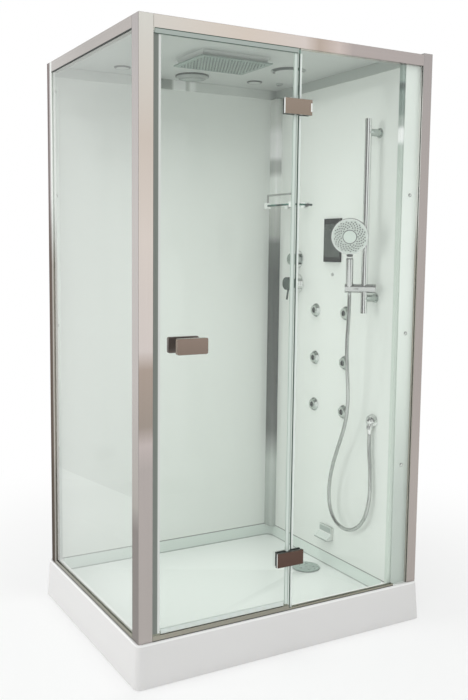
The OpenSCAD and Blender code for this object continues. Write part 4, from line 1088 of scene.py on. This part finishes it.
# Nozzle plate: a rim, nozzles in a sunflower's order, and a pale centre in a dark groove
def add_handset_face():
    forward = (0, -1, 0)

    def front(face):
        return face.normal.y < -0.95 and face.area > 0.003
    plate = disc("spray_plate", (0, FACE_Y + 0.001, HEAD_Z), FACE_R, 0.002, forward, 64)
    soften_edges(plate, 0.0006)
    inset_faces(plate, front, 0.003, -0.0005)
    centre = disc("spray_centre", (0, FACE_Y - 0.0005, HEAD_Z), CENTRE_R, 0.003, forward)
    soften_edges(centre, 0.001)
    groove = disc("spray_groove", (0, FACE_Y - 0.0002, HEAD_Z), GROOVE_R, 0.0012, forward)
    soften_edges(groove, 0.0003)
    deselect()
    bpy.ops.mesh.primitive_cone_add(vertices=8, radius1=0.0026, radius2=0.0021, depth=0.0026,
                                    location=(0, FACE_Y - 0.0003, HEAD_Z), rotation=(math.pi / 2, 0, 0))
    nozzle = bpy.context.object
    bpy.ops.object.transform_apply(location=True, rotation=True, scale=True)
    inset_faces(nozzle, lambda face: face.normal.y < -0.9, 0.0004, -0.0005)
    nozzles = []
    for k in range(SPRAY_NOZZLES):
        share = (k + 0.5) / SPRAY_NOZZLES
        radius = math.sqrt(SPRAY_INNER ** 2 + share * (SPRAY_OUTER ** 2 - SPRAY_INNER ** 2))
        turn = k * GOLDEN_TURN
        nozzles.append(copy_at(nozzle, (radius * math.cos(turn), 0, radius * math.sin(turn))))
    bpy.data.objects.remove(nozzle)
    field = join("spray_nozzles", nozzles)
    finishes = {plate: NOZZLE_GREY, centre: NOZZLE_WHITE, field: SOFT_NOZZLE, groove: SOFT_NOZZLE}
    for piece, material in finishes.items():
        set_material(piece, material)
    whole = join("handset_face_finished", [plate, centre, field, groove])
    whole.data.transform(HOLDER)
    stand_for(whole, "handset_face")


# Steam hood: a rounded white cover with a sunk grey plate above its lip
def add_steam_outlet():
    low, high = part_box("steam_outlet")
    halfway = (low.z + high.z) / 2
    lip_top, brow = low.z + 0.006, high.z - 0.004

    def plate(face):
        return face.normal.x < -0.9 and face.center.z > halfway and face.area > 0.0005

    def outline(face):
        return (face.center.z < lip_top or face.normal.z > 0.5 and face.center.z > brow
                or face.normal.y < -0.5 and face.center.z > halfway)
    hood = merged_copy("steam_outlet")
    soften_edges(hood, 0.002, 3)
    inset_faces(hood, plate, 0.0015, -0.0006)
    finish_piece(hood, WALL_GLASS, "steam_outlet")
    paint(hood, PLATE_GREY, plate)
    # The hood's lower slanted faces get painted shade
    paint(hood, HOOD_SHADE, lambda face: -0.9 < face.normal.x < -0.3 and face.center.z < halfway)
    paint(hood, HOOD_LINE, outline)


# Drain cover: a domed disc with a ring groove
def add_drain_cover():
    def top(face):
        return face.normal.z > 0.95 and face.area > 0.003
    cover = merged_copy("drain_cover")
    soften_edges(cover, 0.0012)
    inset_faces(cover, top, 0.004)
    inset_faces(cover, top, 0.0008, -0.0004)
    finish_piece(cover, DRAIN_STEEL, "drain_cover")


# Steam generator: a casing with a lid seam and louvres
LID_H, LID_SEAM = 0.04, 0.0015
LOUVRES, LOUVRE_PITCH, LOUVRE_W, LOUVRE_H = 8, 0.012, 0.10, 0.004
LOUVRE_IN, LOUVRE_FOOT = 0.04, 0.05


def add_steam_generator():
    low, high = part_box("steam_generator")
    lid = high.z - LID_H
    casing = merged_copy("steam_generator")
    soften_edges(casing, 0.002)
    for height in (lid, lid + LID_SEAM):
        split_at(casing, (0, 0, height), (0, 0, 1))
    side, bottom = low.y + LOUVRE_IN, low.z + LOUVRE_FOOT
    louvre = block("louvre", (high.x - 0.001, side, bottom),
                   (high.x + 0.001, side + LOUVRE_W, bottom + LOUVRE_H))
    soften_edges(louvre, 0.0008)
    louvres = [copy_at(louvre, (0, 0, LOUVRE_PITCH * k)) for k in range(LOUVRES)]
    bpy.data.objects.remove(louvre)
    for piece in louvres:
        set_material(piece, GREY_SEAL)
    set_material(casing, CASING_WHITE)
    paint(casing, GREY_SEAL, lambda face: lid < face.center.z < lid + LID_SEAM)
    stand_for(join("steam_generator_finished", [casing] + louvres), "steam_generator")


for make in (add_tray, add_front_post, add_rear_post, add_right_post, add_wall_profiles, add_left_rail,
             add_floor_profiles, add_walls, add_frame_seals, add_door_seals, add_shelf_rail, add_hinge_covers,
             add_pane_lip, add_rain_head, add_ceiling_lights, add_ceiling_speaker, add_diverter,
             add_jet_nozzles, add_control_panel, add_handset, add_handset_face, add_steam_outlet,
             add_drain_cover, add_steam_generator):
    make()


# Floor, light and world
def rays_that_see(nodes, links):
    rays = nodes.new("ShaderNodeLightPath")
    direct = rays.outputs["Is Camera Ray"]
    return join_rays(nodes, links, rays, direct, ("Is Glossy Ray", "Is Transmission Ray"))


# The floor takes the shadow near the cabin and fades into the white background further out
FLOOR_SHADOW = 0.38
FLOOR_NEAR, FLOOR_FAR = 0.6, 2.4
FLOOR_SIZE = 6.0


def add_floor():
    deselect()
    bpy.ops.mesh.primitive_plane_add(size=FLOOR_SIZE, location=(0, 0, 0))
    floor = bpy.context.object
    floor.name = "floor"
    material, surface = new_material("pale floor", (0.90, 0.90, 0.90), Roughness=1.0)
    surface.inputs["Specular IOR Level"].default_value = 0.0
    nodes, links = material.node_tree.nodes, material.node_tree.links
    place = nodes.new("ShaderNodeTexCoord")
    distance = add_vector_math(nodes, "LENGTH")
    far = nodes.new("ShaderNodeMapRange")
    far.interpolation_type = "SMOOTHSTEP"
    far.inputs["From Min"].default_value = FLOOR_NEAR
    far.inputs["From Max"].default_value = FLOOR_FAR
    far.inputs["To Min"].default_value = 1.0 - FLOOR_SHADOW
    far.inputs["To Max"].default_value = 1.0
    white = nodes.new("ShaderNodeEmission")
    shown = add_math(nodes, "MULTIPLY")
    blend = nodes.new("ShaderNodeMixShader")
    links.new(place.outputs["Object"], distance.inputs[0])
    links.new(distance.outputs["Value"], far.inputs["Value"])
    links.new(far.outputs["Result"], shown.inputs[0])
    links.new(rays_that_see(nodes, links), shown.inputs[1])
    links.new(shown.outputs[0], blend.inputs[0])
    links.new(surface.outputs[0], blend.inputs[1])
    links.new(white.outputs[0], blend.inputs[2])
    links.new(blend.outputs[0], nodes["Material Output"].inputs["Surface"])
    floor.data.materials.append(material)


# A soft lamp that lights the cabin and shows in no mirror
def add_softbox(name, place, target, size, power, spread=180):
    data = bpy.data.lights.new(name, "AREA")
    data.shape = "RECTANGLE"
    data.size, data.size_y = size
    data.energy = power
    data.spread = math.radians(spread)
    lamp = bpy.data.objects.new(name, data)
    lamp.location = place
    lamp.rotation_euler = (Vector(target) - Vector(place)).to_track_quat("-Z", "Y").to_euler()
    lamp.visible_glossy = False
    bpy.context.scene.collection.objects.link(lamp)


AMBIENT = 0.73

# What mirror-like surfaces see round the cabin: white walls with two dark boards, by compass
# bearing in degrees from +X, so that round chrome gets its dark and bright stripes
STUDIO = [(-180, 0.15), (-148, 0.15), (-141, 1.0), (-117, 1.0), (-110, 0.15), (-86, 0.15), (-78, 1.0),
          (-30, 1.0), (0, 0.7), (60, 0.7), (90, 1.0), (136, 1.0), (146, 0.15), (180, 0.15)]
# Overhead and underfoot the studio is dim, from these shares of straight up and down
STEEP_FROM, STEEP_TO, STEEP_TONE = 0.50, 0.74, 0.25


def add_world():
    world = bpy.data.worlds.new("studio")
    world.use_nodes = True
    nodes, links = world.node_tree.nodes, world.node_tree.links
    ambient = nodes["Background"]
    ambient.inputs["Color"].default_value = (0.98, 1.0, 0.985, 1)
    ambient.inputs["Strength"].default_value = AMBIENT
    seen = nodes.new("ShaderNodeBackground")
    seen.inputs["Strength"].default_value = 1.0
    place = nodes.new("ShaderNodeTexCoord")
    split = nodes.new("ShaderNodeSeparateXYZ")
    bearing = add_math(nodes, "ARCTAN2")
    turn = add_math(nodes, "MULTIPLY_ADD")
    turn.inputs[1].default_value = 1 / (2 * math.pi)
    turn.inputs[2].default_value = 0.5
    boards = nodes.new("ShaderNodeValToRGB")
    stops = boards.color_ramp.elements
    for number, (degrees, tone) in enumerate(STUDIO):
        at = degrees / 360 + 0.5
        stop = stops[0] if number == 0 else stops[-1] if number == len(STUDIO) - 1 else stops.new(at)
        stop.position = at
        stop.color = (tone, tone, tone, 1)
    rays = nodes.new("ShaderNodeLightPath")
    backdrop = nodes.new("ShaderNodeMix")
    backdrop.data_type = "RGBA"
    backdrop.inputs["A"].default_value = (1, 1, 1, 1)
    pick_shader = nodes.new("ShaderNodeMixShader")
    links.new(place.outputs["Generated"], split.inputs[0])
    links.new(split.outputs["Y"], bearing.inputs[0])
    links.new(split.outputs["X"], bearing.inputs[1])
    links.new(bearing.outputs[0], turn.inputs[0])
    links.new(turn.outputs[0], boards.inputs["Fac"])
    links.new(mirrored_rays(nodes, links, rays), backdrop.inputs["Factor"])
    height = add_math(nodes, "ABSOLUTE")
    level = nodes.new("ShaderNodeMapRange")
    level.interpolation_type = "SMOOTHSTEP"
    level.inputs["From Min"].default_value = STEEP_FROM
    level.inputs["From Max"].default_value = STEEP_TO
    level.inputs["To Min"].default_value = 1.0
    level.inputs["To Max"].default_value = STEEP_TONE
    dimmed = add_vector_math(nodes, "SCALE")
    links.new(split.outputs["Z"], height.inputs[0])
    links.new(height.outputs[0], level.inputs["Value"])
    links.new(boards.outputs["Color"], dimmed.inputs[0])
    links.new(level.outputs["Result"], dimmed.inputs["Scale"])
    links.new(dimmed.outputs["Vector"], backdrop.inputs["B"])
    links.new(backdrop.outputs["Result"], seen.inputs["Color"])
    links.new(rays_that_see(nodes, links), pick_shader.inputs[0])
    links.new(ambient.outputs[0], pick_shader.inputs[1])
    links.new(seen.outputs[0], pick_shader.inputs[2])
    links.new(pick_shader.outputs[0], nodes["World Output"].inputs["Surface"])
    bpy.context.scene.world = world


add_floor()
add_softbox("key", (-2.6, -3.0, 4.8), (0.1, 0.1, 0.3), (2.6, 2.0), 26)
add_softbox("front fill", (2.2, -4.2, 2.2), (0, 0, 1.0), (2.4, 2.4), 15)
add_softbox("side fill", (-4.4, 0.6, 2.2), (0, 0, 0.9), (2.0, 2.4), 44)
add_softbox("ceiling light", (0, 0, 2.06), (0, 0, 0), (0.9, 0.6), 2.5, spread=80)
add_world()

scene = bpy.context.scene
scene.view_settings.view_transform = "Standard"
